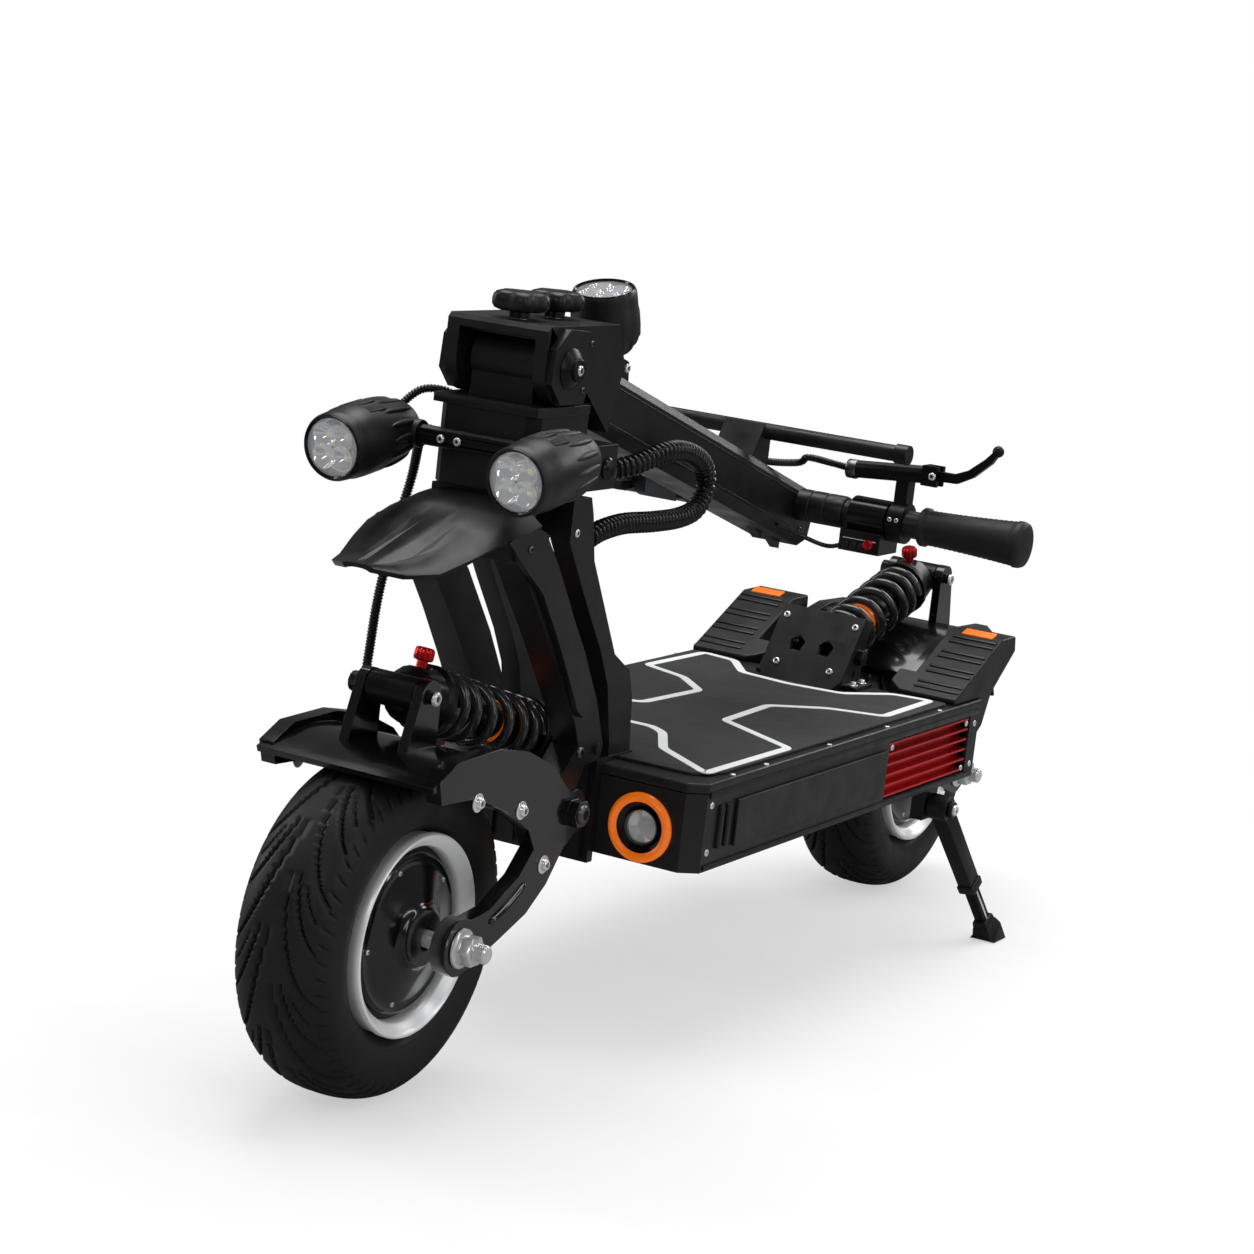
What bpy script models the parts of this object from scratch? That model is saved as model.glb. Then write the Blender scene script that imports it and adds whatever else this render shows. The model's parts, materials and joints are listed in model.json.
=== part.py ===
"""Folding dual-motor electric kick scooter, stored with its stem folded back.

Metres, +Z up.  The scooter faces -Y, the rider's left is +X, and the origin lies
on the ground half way between the axles.
"""
import math

import bmesh
import bpy
from mathutils import Matrix, Vector

# ---------------------------------------------------------------- clearances
GAP = 0.0004            # between neighbouring fixed pieces
RUNNING = 0.0006        # radial clearance of a turning or sliding fit

# ------------------------------------------------------------ wheels, axles
WHEELBASE = 0.990
TYRE_RADIUS = 0.141
TYRE_WIDTH = 0.090
TYRE_WALL = 0.009
TREAD_FLAT = 0.026
RIM_RADIUS = 0.083
RIM_HALF_WIDTH = 0.046
HUB_COVER_X = 0.050
AXLE_RADIUS = 0.0075
HUB_BORE = AXLE_RADIUS + 0.0010
HUB_SHELL = 0.006
WHEEL_SIDES = 36
HUB_SIDES = 28
AXLE_HALF_LENGTH = 0.112
DISC_RADIUS = 0.056
DISC_THICKNESS = 0.002
DISC_X = 0.059

# ------------------------------------------------- swingarms and suspension
ARM_INNER_X = 0.072
ARM_THICKNESS = 0.014
PIVOT = (0.159, 0.086)              # from the axle: inwards, up
FORK_SHOCK_EYE = (0.233, 0.125)
ARM_SHOCK_EYE_FRONT = (0.005, 0.192)
DECK_SHOCK_EYE = (0.195, 0.138)
ARM_SHOCK_EYE_REAR = (-0.030, 0.197)
PIVOT_BOLT_RADIUS = 0.0078
HORN_INNER_X = 0.0235
HORN_THICKNESS = 0.009
BRIDGE_CLEARANCE = 0.0055
BRIDGE_THICKNESS = 0.0055
SHOCK_PIN_RADIUS = 0.005
SHOCK_EYE_RADIUS = 0.0140
SHOCK_EYE_HALF_WIDTH = 0.0222
SHOCK_HEAD_RADIUS = 0.0270
SHOCK_HEAD_LENGTH = 0.030
SHOCK_ROD_RADIUS = 0.0060
SHOCK_TUBE_RADIUS = 0.0170
SPRING_RADIUS = 0.0245
SPRING_WIRE = 0.0044
SPRING_TURNS = 7
KNOB_RADIUS = 0.0085

# --------------------------------------------------------------------- deck
DECK_HALF_WIDTH = 0.1527
DECK_FRONT = -0.238
DECK_REAR = 0.3676
DECK_BOTTOM = 0.169
DECK_HEIGHT = 0.0698
DECK_WALL = 0.004
DECK_CHAMFER = 0.014
PLATE_THICKNESS = 0.0094
PLATE_OVERHANG = 0.0012
MAT_THICKNESS = 0.0025
MAT_MARGIN = 0.019
NOTCH_HALF_WIDTH = 0.096
NOTCH_FRONT = 0.312
COVER_THICKNESS = 0.003
COVER_FRONT = -0.169
COVER_REAR = 0.142
SINK_FRONT = 0.150
SINK_REAR = 0.346
SINK_FINS = 6
LAMP_RING_RADIUS = 0.0305
BATTERY_LENGTH = 0.420
BATTERY_HEIGHT = 0.052

# ------------------------------------------------------- steering and fork
STEER_Y = -0.352
HEAD_TUBE_RADIUS = 0.0240
HEAD_TUBE_BOTTOM = 0.449
HEAD_TUBE_TOP = 0.545
STEERER_RADIUS = 0.0142
BEARING_WALL = 0.0036
CLAMP_BOTTOM = 0.489
CLAMP_TOP = 0.5555
CLAMP_HALF_WIDTH = 0.048
CLAMP_FRONT = -0.400
CLAMP_REAR = -0.306
FLANGE_THICKNESS = 0.0069
LEG_INNER_X = 0.0340
LEG_THICKNESS = 0.0260
NECK_INNER_X = 0.0350
NECK_THICKNESS = 0.0190
NECK_OUTER_X = NECK_INNER_X + NECK_THICKNESS
# The deck lamps share the free width between the neck and the deck side
DECK_LAMP_X = (NECK_OUTER_X + LAMP_RING_RADIUS
               + 0.38462 * (DECK_HALF_WIDTH - NECK_OUTER_X - 2 * LAMP_RING_RADIUS))
NECK_FOOT = 0.0038
LAMP_BAR_RADIUS = 0.0085
LAMP_BAR_HALF = 0.0560
LAMP_X = 0.0865
LAMP_Z = 0.5260
LAMP_RADIUS = 0.0300
LAMP_LENGTH = 0.1000

# --------------------------------------------------------------------- stem
FOLD_Y = -0.364
FOLD_HEIGHT = 0.0310            # fold pivot above the flange
FOLD_PIN_RADIUS = 0.0060
KNUCKLE_RADIUS = 0.0200
CHEEK_INNER_X = 0.0365
HEAD_HALF_WIDTH = 0.0480
STEM_SLOPE = math.radians(17.2)
STEM_LENGTH = 0.563             # from the fold pivot to the stem's end
STEM_START = 0.0954
STEM_HALF_WIDTH = 0.0300
STEM_HALF_HEIGHT = 0.0275
STEM_WALL = 0.0040
STEM_BEVEL = 0.0085
BAR_ALONG = 0.5300              # bar centre, along the stem from the fold pivot
BAR_ABOVE = 0.0080              # bar centre, above the stem's centre line
BAR_RADIUS = 0.0130
BAR_WALL = 0.0025
COLLAR_RADIUS = BAR_RADIUS + 0.0025
COLLAR_END = 0.0804             # collars reach this far out from the middle
BAR_HALF_LENGTH = 0.2640
GRIP_LENGTH = 0.1040
GRIP_RADIUS = 0.0175
ACCESSORY_RADIUS = 0.0076
ACCESSORY_HALF = 0.1650
KNOB_HALF_WIDTH = 0.0245
CLAMP_KNOB_HEIGHT = 0.0230
LAMP_MOUNT_ALONG = 0.1500
LAMP_MOUNT_ABOVE = STEM_HALF_HEIGHT + 0.0100
LAMP_PIN_RADIUS = 0.0030

# ------------------------------------------------------------- kickstand
STAND_PIVOT = Vector((DECK_HALF_WIDTH + 0.0033, 0.2900, 0.1480))
STAND_FOOT = Vector((DECK_HALF_WIDTH + 0.0343, 0.3920, 0.0000))
STAND_RADIUS = 0.0085

# -------------------------------------------------------- derived positions
AXLE_Z = TYRE_RADIUS * math.cos(math.pi / WHEEL_SIDES)
DECK_TOP = DECK_BOTTOM + DECK_HEIGHT
PLATE_TOP = DECK_TOP + GAP + PLATE_THICKNESS
ARM_OUTER_X = ARM_INNER_X + ARM_THICKNESS
LEG_OUTER_X = LEG_INNER_X + LEG_THICKNESS
HORN_OUTER_X = HORN_INNER_X + HORN_THICKNESS
BRIDGE_INNER = TYRE_RADIUS + BRIDGE_CLEARANCE
BRIDGE_OUTER = BRIDGE_INNER + BRIDGE_THICKNESS
FLANGE_TOP = CLAMP_TOP + FLANGE_THICKNESS
FOLD_Z = FLANGE_TOP + GAP + FOLD_HEIGHT
STEM_DIR = Vector((0.0, math.cos(STEM_SLOPE), -math.sin(STEM_SLOPE)))
STEM_UP = Vector((0.0, math.sin(STEM_SLOPE), math.cos(STEM_SLOPE)))
FOLD_POINT = Vector((0.0, FOLD_Y, FOLD_Z))
BAR_CENTRE = FOLD_POINT + STEM_DIR * BAR_ALONG + STEM_UP * BAR_ABOVE
NECK_ROOT_Z = PLATE_TOP + GAP


# ---------------------------------------------------------------- materials
def material(name, colour, roughness, metallic=0.0):
    """A plain Principled material."""
    found = bpy.data.materials.get(name)
    if found:
        return found
    made = bpy.data.materials.new(name)
    made.use_nodes = True
    made.diffuse_color = (*colour, 1.0)
    shader = made.node_tree.nodes["Principled BSDF"]
    shader.inputs["Base Color"].default_value = (*colour, 1.0)
    shader.inputs["Roughness"].default_value = roughness
    shader.inputs["Metallic"].default_value = metallic
    return made


PAINT = material("black_paint", (0.012, 0.012, 0.013), 0.38, 0.6)
GLOSS = material("gloss_black", (0.010, 0.010, 0.011), 0.18, 0.7)
PLASTIC = material("black_plastic", (0.018, 0.018, 0.019), 0.50)
RUBBER = material("rubber", (0.022, 0.022, 0.022), 0.80)
STEEL = material("steel", (0.55, 0.55, 0.57), 0.30, 1.0)
RED = material("red_anodised", (0.45, 0.012, 0.015), 0.30, 0.8)
LENS = material("lens", (0.70, 0.72, 0.75), 0.10)
BLUE = material("battery_wrap", (0.03, 0.10, 0.35), 0.55)


# ------------------------------------------------------------ mesh building
def link(name, mesh, look):
    """Put a mesh in the scene as a named object."""
    mesh.name = name
    obj = bpy.data.objects.new(name, mesh)
    bpy.context.scene.collection.objects.link(obj)
    obj.data.materials.clear()
    obj.data.materials.append(look)
    return obj


def loft(loops, look=PAINT, wrap=False, name="piece"):
    """A closed solid through equal-length loops of points."""
    bm = bmesh.new()
    rows = [[bm.verts.new(p) for p in loop] for loop in loops]
    count = len(rows[0])
    pairs = list(zip(rows, rows[1:]))
    if wrap:
        pairs.append((rows[-1], rows[0]))
    for low, high in pairs:
        for i in range(count):
            j = (i + 1) % count
            bm.faces.new((low[i], low[j], high[j], high[i]))
    if not wrap:
        bm.faces.new(rows[0])
        bm.faces.new(rows[-1])
    bmesh.ops.remove_doubles(bm, verts=bm.verts, dist=1e-6)
    bmesh.ops.recalc_face_normals(bm, faces=bm.faces)
    mesh = bpy.data.meshes.new(name)
    bm.to_mesh(mesh)
    bm.free()
    return link(name, mesh, look)


def prism(outline, axis, low, high, look=PAINT):
    """Extrude a flat outline along X (y, z), Y (x, z) or Z (x, y)."""
    def point(a, b, along):
        return {"X": (along, a, b), "Y": (a, along, b), "Z": (a, b, along)}[axis]
    return loft([[point(a, b, along) for a, b in outline] for along in (low, high)], look)


def box(low, high, look=PAINT):
    """An upright block between two corners."""
    outline = [(low[0], low[1]), (high[0], low[1]), (high[0], high[1]), (low[0], high[1])]
    return prism(outline, "Z", low[2], high[2], look)


def side_vectors(direction):
    """Two unit vectors square to a direction."""
    direction = Vector(direction).normalized()
    helper = Vector((1, 0, 0)) if abs(direction.x) < 0.9 else Vector((0, 1, 0))
    first = direction.cross(helper).normalized()
    return first, direction.cross(first).normalized()


def turned(profile, base, direction, look=PAINT, sides=18):
    """Turn a closed (radius, along) profile about a line through base."""
    direction = Vector(direction).normalized()
    first, second = side_vectors(direction)
    loops = []
    for step in range(sides):
        angle = 2 * math.pi * (step + 0.5) / sides
        spoke = first * math.cos(angle) + second * math.sin(angle)
        loops.append([Vector(base) + direction * along + spoke * r for r, along in profile])
    return loft(loops, look, wrap=True)


def ring(outer, inner, low, high, base, direction, look=PAINT, sides=18):
    """A plain ring."""
    return turned([(inner, low), (outer, low), (outer, high), (inner, high)],
                  base, direction, look, sides)


def rod(start, end, radius, look=PAINT, sides=16):
    """A straight round bar between two points."""
    start, end = Vector(start), Vector(end)
    first, second = side_vectors(end - start)
    loops = []
    for centre in (start, end):
        angles = [2 * math.pi * (k + 0.5) / sides for k in range(sides)]
        loops.append([centre + (first * math.cos(a) + second * math.sin(a)) * radius
                      for a in angles])
    return loft(loops, look)


def cylinder(x_low, x_high, y, z, radius, look=PAINT, sides=18):
    """A round bar along X."""
    return rod((x_low, y, z), (x_high, y, z), radius, look, sides)


def tube_path(points, radius, look=RUBBER, sides=10):
    """A round cord through a list of points, its section carried along."""
    points = [Vector(p) for p in points]
    tangents = []
    for i in range(len(points)):
        before, after = points[max(i - 1, 0)], points[min(i + 1, len(points) - 1)]
        tangents.append((after - before).normalized())
    across = side_vectors(tangents[0])[0]
    loops = []
    for centre, tangent in zip(points, tangents):
        across = (across - tangent * across.dot(tangent)).normalized()
        other = tangent.cross(across)
        angles = [2 * math.pi * k / sides for k in range(sides)]
        loops.append([centre + (across * math.cos(a) + other * math.sin(a)) * radius
                      for a in angles])
    return loft(loops, look)


def smooth_route(points, steps):
    """A Catmull-Rom curve through hand-picked points."""
    points = [Vector(p) for p in points]
    ends = [points[0] * 2 - points[1]] + points + [points[-1] * 2 - points[-2]]
    route = []
    for i in range(1, len(ends) - 2):
        a, b, c, d = ends[i - 1:i + 3]
        for step in range(steps):
            t = step / steps
            route.append(0.5 * (2 * b + (c - a) * t + (2 * a - 5 * b + 4 * c - d) * t * t
                                + (3 * b - a - 3 * c + d) * t ** 3))
    return route + [points[-1]]


def arc(centre, radius, start, end, steps):
    """Points of a flat arc, angles in degrees."""
    angles = [math.radians(start + (end - start) * k / steps) for k in range(steps + 1)]
    return [(centre[0] + radius * math.cos(a), centre[1] + radius * math.sin(a))
            for a in angles]


def combine(target, others, operation):
    """Join or cut with exact Booleans, keeping the result as a mesh."""
    for other in others:
        step = target.modifiers.new(operation.lower(), "BOOLEAN")
        step.operation = operation
        step.solver = "EXACT"
        step.object = other
    graph = bpy.context.evaluated_depsgraph_get()
    mesh = bpy.data.meshes.new_from_object(target.evaluated_get(graph))
    target.modifiers.clear()
    old = target.data
    target.data = mesh
    bpy.data.meshes.remove(old)
    for other in others:
        bpy.data.objects.remove(other)
    return target


def join(target, *others):
    return combine(target, list(others), "UNION")


def cut(target, *cutters):
    return combine(target, list(cutters), "DIFFERENCE")


def finish(obj, name, pivot=None, smooth=35.0):
    """Name a piece, clean its mesh and set its origin on its joint's axis."""
    bm = bmesh.new()
    bm.from_mesh(obj.data)
    bmesh.ops.remove_doubles(bm, verts=bm.verts, dist=2e-6)
    bmesh.ops.dissolve_degenerate(bm, edges=bm.edges, dist=2e-6)
    bmesh.ops.recalc_face_normals(bm, faces=bm.faces)
    bm.to_mesh(obj.data)
    bm.free()
    for face in obj.data.polygons:
        face.use_smooth = True
    obj.data.set_sharp_from_angle(angle=math.radians(smooth))
    obj.name = name
    obj.data.name = name
    if pivot is not None:
        obj.data.transform(Matrix.Translation(-Vector(pivot)))
        obj.location = pivot
    return obj


def mirrored(obj, name):
    """The same piece on the other side of the scooter."""
    copy = bpy.data.objects.new(name, obj.data.copy())
    bpy.context.scene.collection.objects.link(copy)
    copy.data.transform(Matrix.Translation(obj.location))
    copy.data.transform(Matrix.Diagonal((-1, 1, 1, 1)))
    pivot = Vector((-obj.location.x, obj.location.y, obj.location.z))
    return finish(copy, name, pivot)


# ------------------------------------------------------------------- the ends
class End:
    """One end of the scooter; u runs from its axle to the middle, v runs up."""

    def __init__(self, name, inwards, body_eye, arm_eye):
        self.name = name
        self.inwards = inwards
        self.axle_y = -inwards * WHEELBASE / 2
        self.body_eye = body_eye
        self.arm_eye = arm_eye

    def at(self, u, v):
        return (self.axle_y + self.inwards * u, AXLE_Z + v)

    def point(self, place, x=0.0):
        y, z = self.at(*place)
        return Vector((x, y, z))

    def outline(self, points):
        return [self.at(u, v) for u, v in points]


FRONT = End("front", 1.0, FORK_SHOCK_EYE, ARM_SHOCK_EYE_FRONT)
REAR = End("rear", -1.0, DECK_SHOCK_EYE, ARM_SHOCK_EYE_REAR)


def make_wheel(end):
    """Tyre and hub motor of one end, both turning on the axle."""
    centre = end.point((0, 0))
    half = TYRE_WIDTH / 2
    flat = TREAD_FLAT / 2
    bead = half * 0.80
    outer = [(RIM_RADIUS, -bead), (RIM_RADIUS + 0.010, -half * 0.95),
             (TYRE_RADIUS * 0.76, -half), (TYRE_RADIUS * 0.86, -half * 0.97),
             (TYRE_RADIUS * 0.935, -half * 0.83), (TYRE_RADIUS * 0.98, -half * 0.56),
             (TYRE_RADIUS, -flat)]
    outer += [(r, -x) for r, x in reversed(outer)]
    rim = RIM_RADIUS
    inner = [(rim, bead - TYRE_WALL), (TYRE_RADIUS * 0.80, half - TYRE_WALL),
             (TYRE_RADIUS - TYRE_WALL * 1.1, half * 0.35)]
    inner += [(r, -x) for r, x in reversed(inner)]
    tyre = turned(outer + inner, centre, (1, 0, 0), RUBBER, WHEEL_SIDES)
    finish(tyre, f"{end.name}_tyre", centre)

    seat = RIM_RADIUS - GAP
    cover = seat - 0.021
    x0 = RIM_HALF_WIDTH
    bead_out = bead + GAP
    dish = [(0.045, HUB_COVER_X - 0.002), (cover, x0 - 0.006), (cover + 0.004, x0 - 0.012),
            (seat - 0.010, x0 - 0.010), (seat - 0.008, x0), (seat - 0.001, x0 + 0.001),
            (seat - 0.0005, bead_out)]
    left = [(HUB_BORE, HUB_COVER_X + 0.004), (0.022, HUB_COVER_X + 0.004),
            (0.024, HUB_COVER_X)]
    disc_in, disc_out = DISC_X - DISC_THICKNESS / 2, DISC_X + DISC_THICKNESS / 2
    right = [(0.028, -HUB_COVER_X), (0.028, -disc_in), (DISC_RADIUS, -disc_in),
             (DISC_RADIUS, -disc_out), (HUB_BORE, -disc_out)]
    cavity_x = x0 - 0.006 - HUB_SHELL
    cavity_r = cover - 0.002
    profile = left + dish + [(r, -x) for r, x in reversed(dish)] + right
    profile += [(HUB_BORE, -cavity_x), (cavity_r, -cavity_x), (cavity_r, cavity_x),
                (HUB_BORE, cavity_x)]
    hub = turned(profile, centre, (1, 0, 0), GLOSS, HUB_SIDES)
    finish(hub, f"{end.name}_hub", centre)
    return cavity_r, cavity_x


def make_axle(end, cavity_r, cavity_x):
    """Fixed axle, motor stator and the nuts outside the arms."""
    centre = end.point((0, 0))
    washer = ARM_OUTER_X + GAP
    stator_r, stator_x = cavity_r - 0.004, cavity_x * 0.62
    half = [(AXLE_RADIUS, AXLE_HALF_LENGTH), (AXLE_RADIUS, washer + 0.003),
            (0.0165, washer + 0.003), (0.0165, washer), (AXLE_RADIUS, washer),
            (AXLE_RADIUS, stator_x), (stator_r, stator_x)]
    profile = [(0.0, AXLE_HALF_LENGTH)] + half + [(r, -x) for r, x in reversed(half)]
    profile.append((0.0, -AXLE_HALF_LENGTH))
    axle = turned(profile, centre, (1, 0, 0), STEEL, 20)
    nuts = []
    for side in (-1, 1):
        span = sorted((side * (washer + 0.0020), side * (washer + 0.0150)))
        nuts.append(cylinder(*span, centre.y, centre.z, 0.0135, STEEL, 6))
    join(axle, *nuts)
    finish(axle, f"{end.name}_axle", end.point(PIVOT))


def make_caliper(end):
    """Brake caliper on the right arm, straddling the disc."""
    low_x = -(ARM_INNER_X - GAP)
    outline = end.outline([(0.030, 0.020), (0.062, 0.012), (0.078, 0.034), (0.050, 0.048)])
    body = prism(outline, "X", low_x, -(HUB_COVER_X + 0.0045), PAINT)
    centre = end.point((0, 0))
    slot = cylinder(-DISC_X - DISC_THICKNESS / 2 - 0.0008, -DISC_X + DISC_THICKNESS / 2
                    + 0.0008, centre.y, centre.z, DISC_RADIUS + 0.002, PAINT, WHEEL_SIDES)
    shaft = cylinder(-DISC_X + 0.001, 0.0, centre.y, centre.z, 0.030, PAINT, 18)
    cut(body, slot, shaft)
    finish(body, f"{end.name}_caliper", end.point(PIVOT))


def make_swingarm(end, apron):
    """Two side plates, the bridge over the tyre, shock horns and pivot bolt."""
    pu, pv = PIVOT
    eye_u, eye_v = end.arm_eye
    plate = [(pu - 0.008, pv + 0.018), (0.118, 0.132), (0.075, 0.150), (0.030, 0.158),
             (-0.030, 0.156), (-0.056, 0.143), (-0.050, 0.124), (0.000, 0.122),
             (0.050, 0.104), (0.088, 0.082), (0.100, 0.064), (0.080, 0.044),
             (0.040, 0.024)]
    plate += arc((0.0, 0.0), 0.024, 60, 300, 10)
    plate += [(0.060, -0.004), (0.098, 0.010), (0.126, 0.030), (pu - 0.010, pv - 0.028)]
    plate += arc((pu, pv), 0.020, -70, 80, 8)
    half_pin = ARM_OUTER_X + 0.009
    arm = cylinder(-half_pin, half_pin, *end.at(*PIVOT), PIVOT_BOLT_RADIUS, GLOSS, 18)
    parts = []
    for side in (-1, 1):
        span = sorted((side * ARM_INNER_X, side * ARM_OUTER_X))
        side_plate = prism(end.outline(plate), "X", *span, GLOSS)
        bore = cylinder(span[0] - 0.01, span[1] + 0.01, *end.at(0, 0),
                        AXLE_RADIUS + RUNNING, GLOSS, 18)
        cut(side_plate, bore)
        parts.append(side_plate)
        head = sorted((side * (ARM_OUTER_X - 0.001), side * half_pin))
        parts.append(cylinder(*head, *end.at(*PIVOT), 0.0125, GLOSS, 6))
    start, stop = 90 - 24, 90 + apron
    shell = arc((0, 0), BRIDGE_OUTER, start, stop, 12)
    shell_in = arc((0, 0), BRIDGE_INNER, stop, start, 12)
    mirrored_shell = [(-u, v) for u, v in shell + shell_in]
    parts.append(prism(end.outline(mirrored_shell), "X", -ARM_OUTER_X + 0.002,
                       ARM_OUTER_X - 0.002, GLOSS))
    base = [(u, math.sqrt(BRIDGE_OUTER ** 2 - u ** 2) - 0.003)
            for u in (max(eye_u - 0.030, -0.056), eye_u + 0.0140)]
    horn = base + arc((eye_u, eye_v), 0.0145, 0, 180, 8)
    for side in (-1, 1):
        span = sorted((side * HORN_INNER_X, side * HORN_OUTER_X))
        parts.append(prism(end.outline(horn), "X", *span, GLOSS))
    pin = HORN_OUTER_X + 0.004
    parts.append(cylinder(-pin - 0.005, pin, *end.at(*end.arm_eye), SHOCK_PIN_RADIUS,
                          GLOSS, 12))
    parts.append(cylinder(-pin - 0.006, -pin + 0.0035, *end.at(*end.arm_eye), 0.0085,
                          GLOSS, 12))
    join(arm, *parts)
    finish(arm, f"{end.name}_swingarm", end.point(PIVOT))


def make_shock(end):
    """Damper body on its fixed eye, rod on the arm's eye, spring and knob."""
    body_eye = end.point(end.body_eye)
    arm_eye = end.point(end.arm_eye)
    span = (body_eye - arm_eye).length
    inwards = (body_eye - arm_eye).normalized()
    square = Vector((1, 0, 0)).cross(inwards)
    if square.z < 0:
        square = -square
    bore = SHOCK_PIN_RADIUS + RUNNING

    head_start = SHOCK_EYE_RADIUS + 0.004
    head_end = head_start + SHOCK_HEAD_LENGTH
    seat_start = span - SHOCK_EYE_RADIUS - 0.012
    seat_end = seat_start + 0.008
    tube_start = head_end + 0.045
    rod_end = tube_start + 0.055

    head = turned([(0.0, head_start - 0.012), (0.016, head_start - 0.012),
                   (0.0215, head_start - 0.004), (SHOCK_HEAD_RADIUS - 0.003, head_start),
                   (SHOCK_HEAD_RADIUS - 0.001, head_end - 0.010),
                   (SHOCK_HEAD_RADIUS + 0.002, head_end - 0.006),
                   (SHOCK_HEAD_RADIUS + 0.002, head_end), (SHOCK_ROD_RADIUS, head_end),
                   (SHOCK_ROD_RADIUS, rod_end), (0.0, rod_end)],
                  arm_eye, inwards, GLOSS, 18)
    eye = cylinder(-SHOCK_EYE_HALF_WIDTH, SHOCK_EYE_HALF_WIDTH, arm_eye.y, arm_eye.z,
                   SHOCK_EYE_RADIUS, GLOSS, 18)
    join(head, eye)
    hole = cylinder(-0.03, 0.03, arm_eye.y, arm_eye.z, bore, GLOSS, 18)
    knob_base = arm_eye + inwards * (head_start + 0.008)
    seat_top = knob_base + square * (SHOCK_HEAD_RADIUS - 0.004)
    pocket = rod(seat_top, seat_top + square * 0.02, KNOB_RADIUS + 0.002, GLOSS, 18)
    cut(head, hole, pocket)
    finish(head, f"{end.name}_shock_rod", arm_eye)

    knob = turned([(0.0, GAP), (0.0045, GAP), (0.0045, 0.006), (KNOB_RADIUS * 0.85, 0.007),
                   (KNOB_RADIUS, 0.009), (KNOB_RADIUS, 0.015), (KNOB_RADIUS * 0.75, 0.017),
                   (0.0, 0.017)], seat_top, square, RED, 18)
    finish(knob, f"{end.name}_rebound_knob", seat_top)

    body = turned([(SHOCK_ROD_RADIUS + RUNNING, tube_start),
                   (SHOCK_TUBE_RADIUS, tube_start), (SHOCK_TUBE_RADIUS, seat_start),
                   (SHOCK_HEAD_RADIUS + 0.002, seat_start),
                   (SHOCK_HEAD_RADIUS + 0.002, seat_end), (0.0150, seat_end + 0.001),
                   (0.0135, span - 0.003), (0.0, span - 0.003), (0.0, rod_end + 0.020),
                   (SHOCK_ROD_RADIUS + RUNNING, rod_end + 0.020)],
                  arm_eye, inwards, GLOSS, 18)
    eye = cylinder(-SHOCK_EYE_HALF_WIDTH, SHOCK_EYE_HALF_WIDTH, body_eye.y, body_eye.z,
                   SHOCK_EYE_RADIUS - 0.002, GLOSS, 18)
    join(body, eye)
    hole = cylinder(-0.03, 0.03, body_eye.y, body_eye.z, bore, GLOSS, 18)
    cut(body, hole)
    finish(body, f"{end.name}_shock_body", body_eye)

    first = head_end + SPRING_WIRE + GAP * 2
    last = seat_start - SPRING_WIRE - GAP * 2
    points = []
    steps = SPRING_TURNS * 13
    for step in range(steps + 1):
        share = step / steps
        angle = 2 * math.pi * SPRING_TURNS * share
        spoke = Vector((1, 0, 0)) * math.cos(angle) + square * math.sin(angle)
        points.append(arm_eye + inwards * (first + (last - first) * share)
                      + spoke * SPRING_RADIUS)
    spring = tube_path(points, SPRING_WIRE, GLOSS, 5)
    finish(spring, f"{end.name}_spring", body_eye, 60.0)


# ----------------------------------------------------------------------- deck
def deck_plan(inset, notch_inset):
    """Plan outline of the deck with its front corners cut and wheel notch."""
    half = DECK_HALF_WIDTH - inset
    notch = NOTCH_HALF_WIDTH + notch_inset
    front, rear = DECK_FRONT + inset, DECK_REAR - inset
    corner = DECK_CHAMFER
    right = [(half - corner, front), (half, front + corner), (half, rear), (notch, rear),
             (notch, NOTCH_FRONT - notch_inset)]
    return right + [(-x, y) for x, y in reversed(right)]


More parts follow.
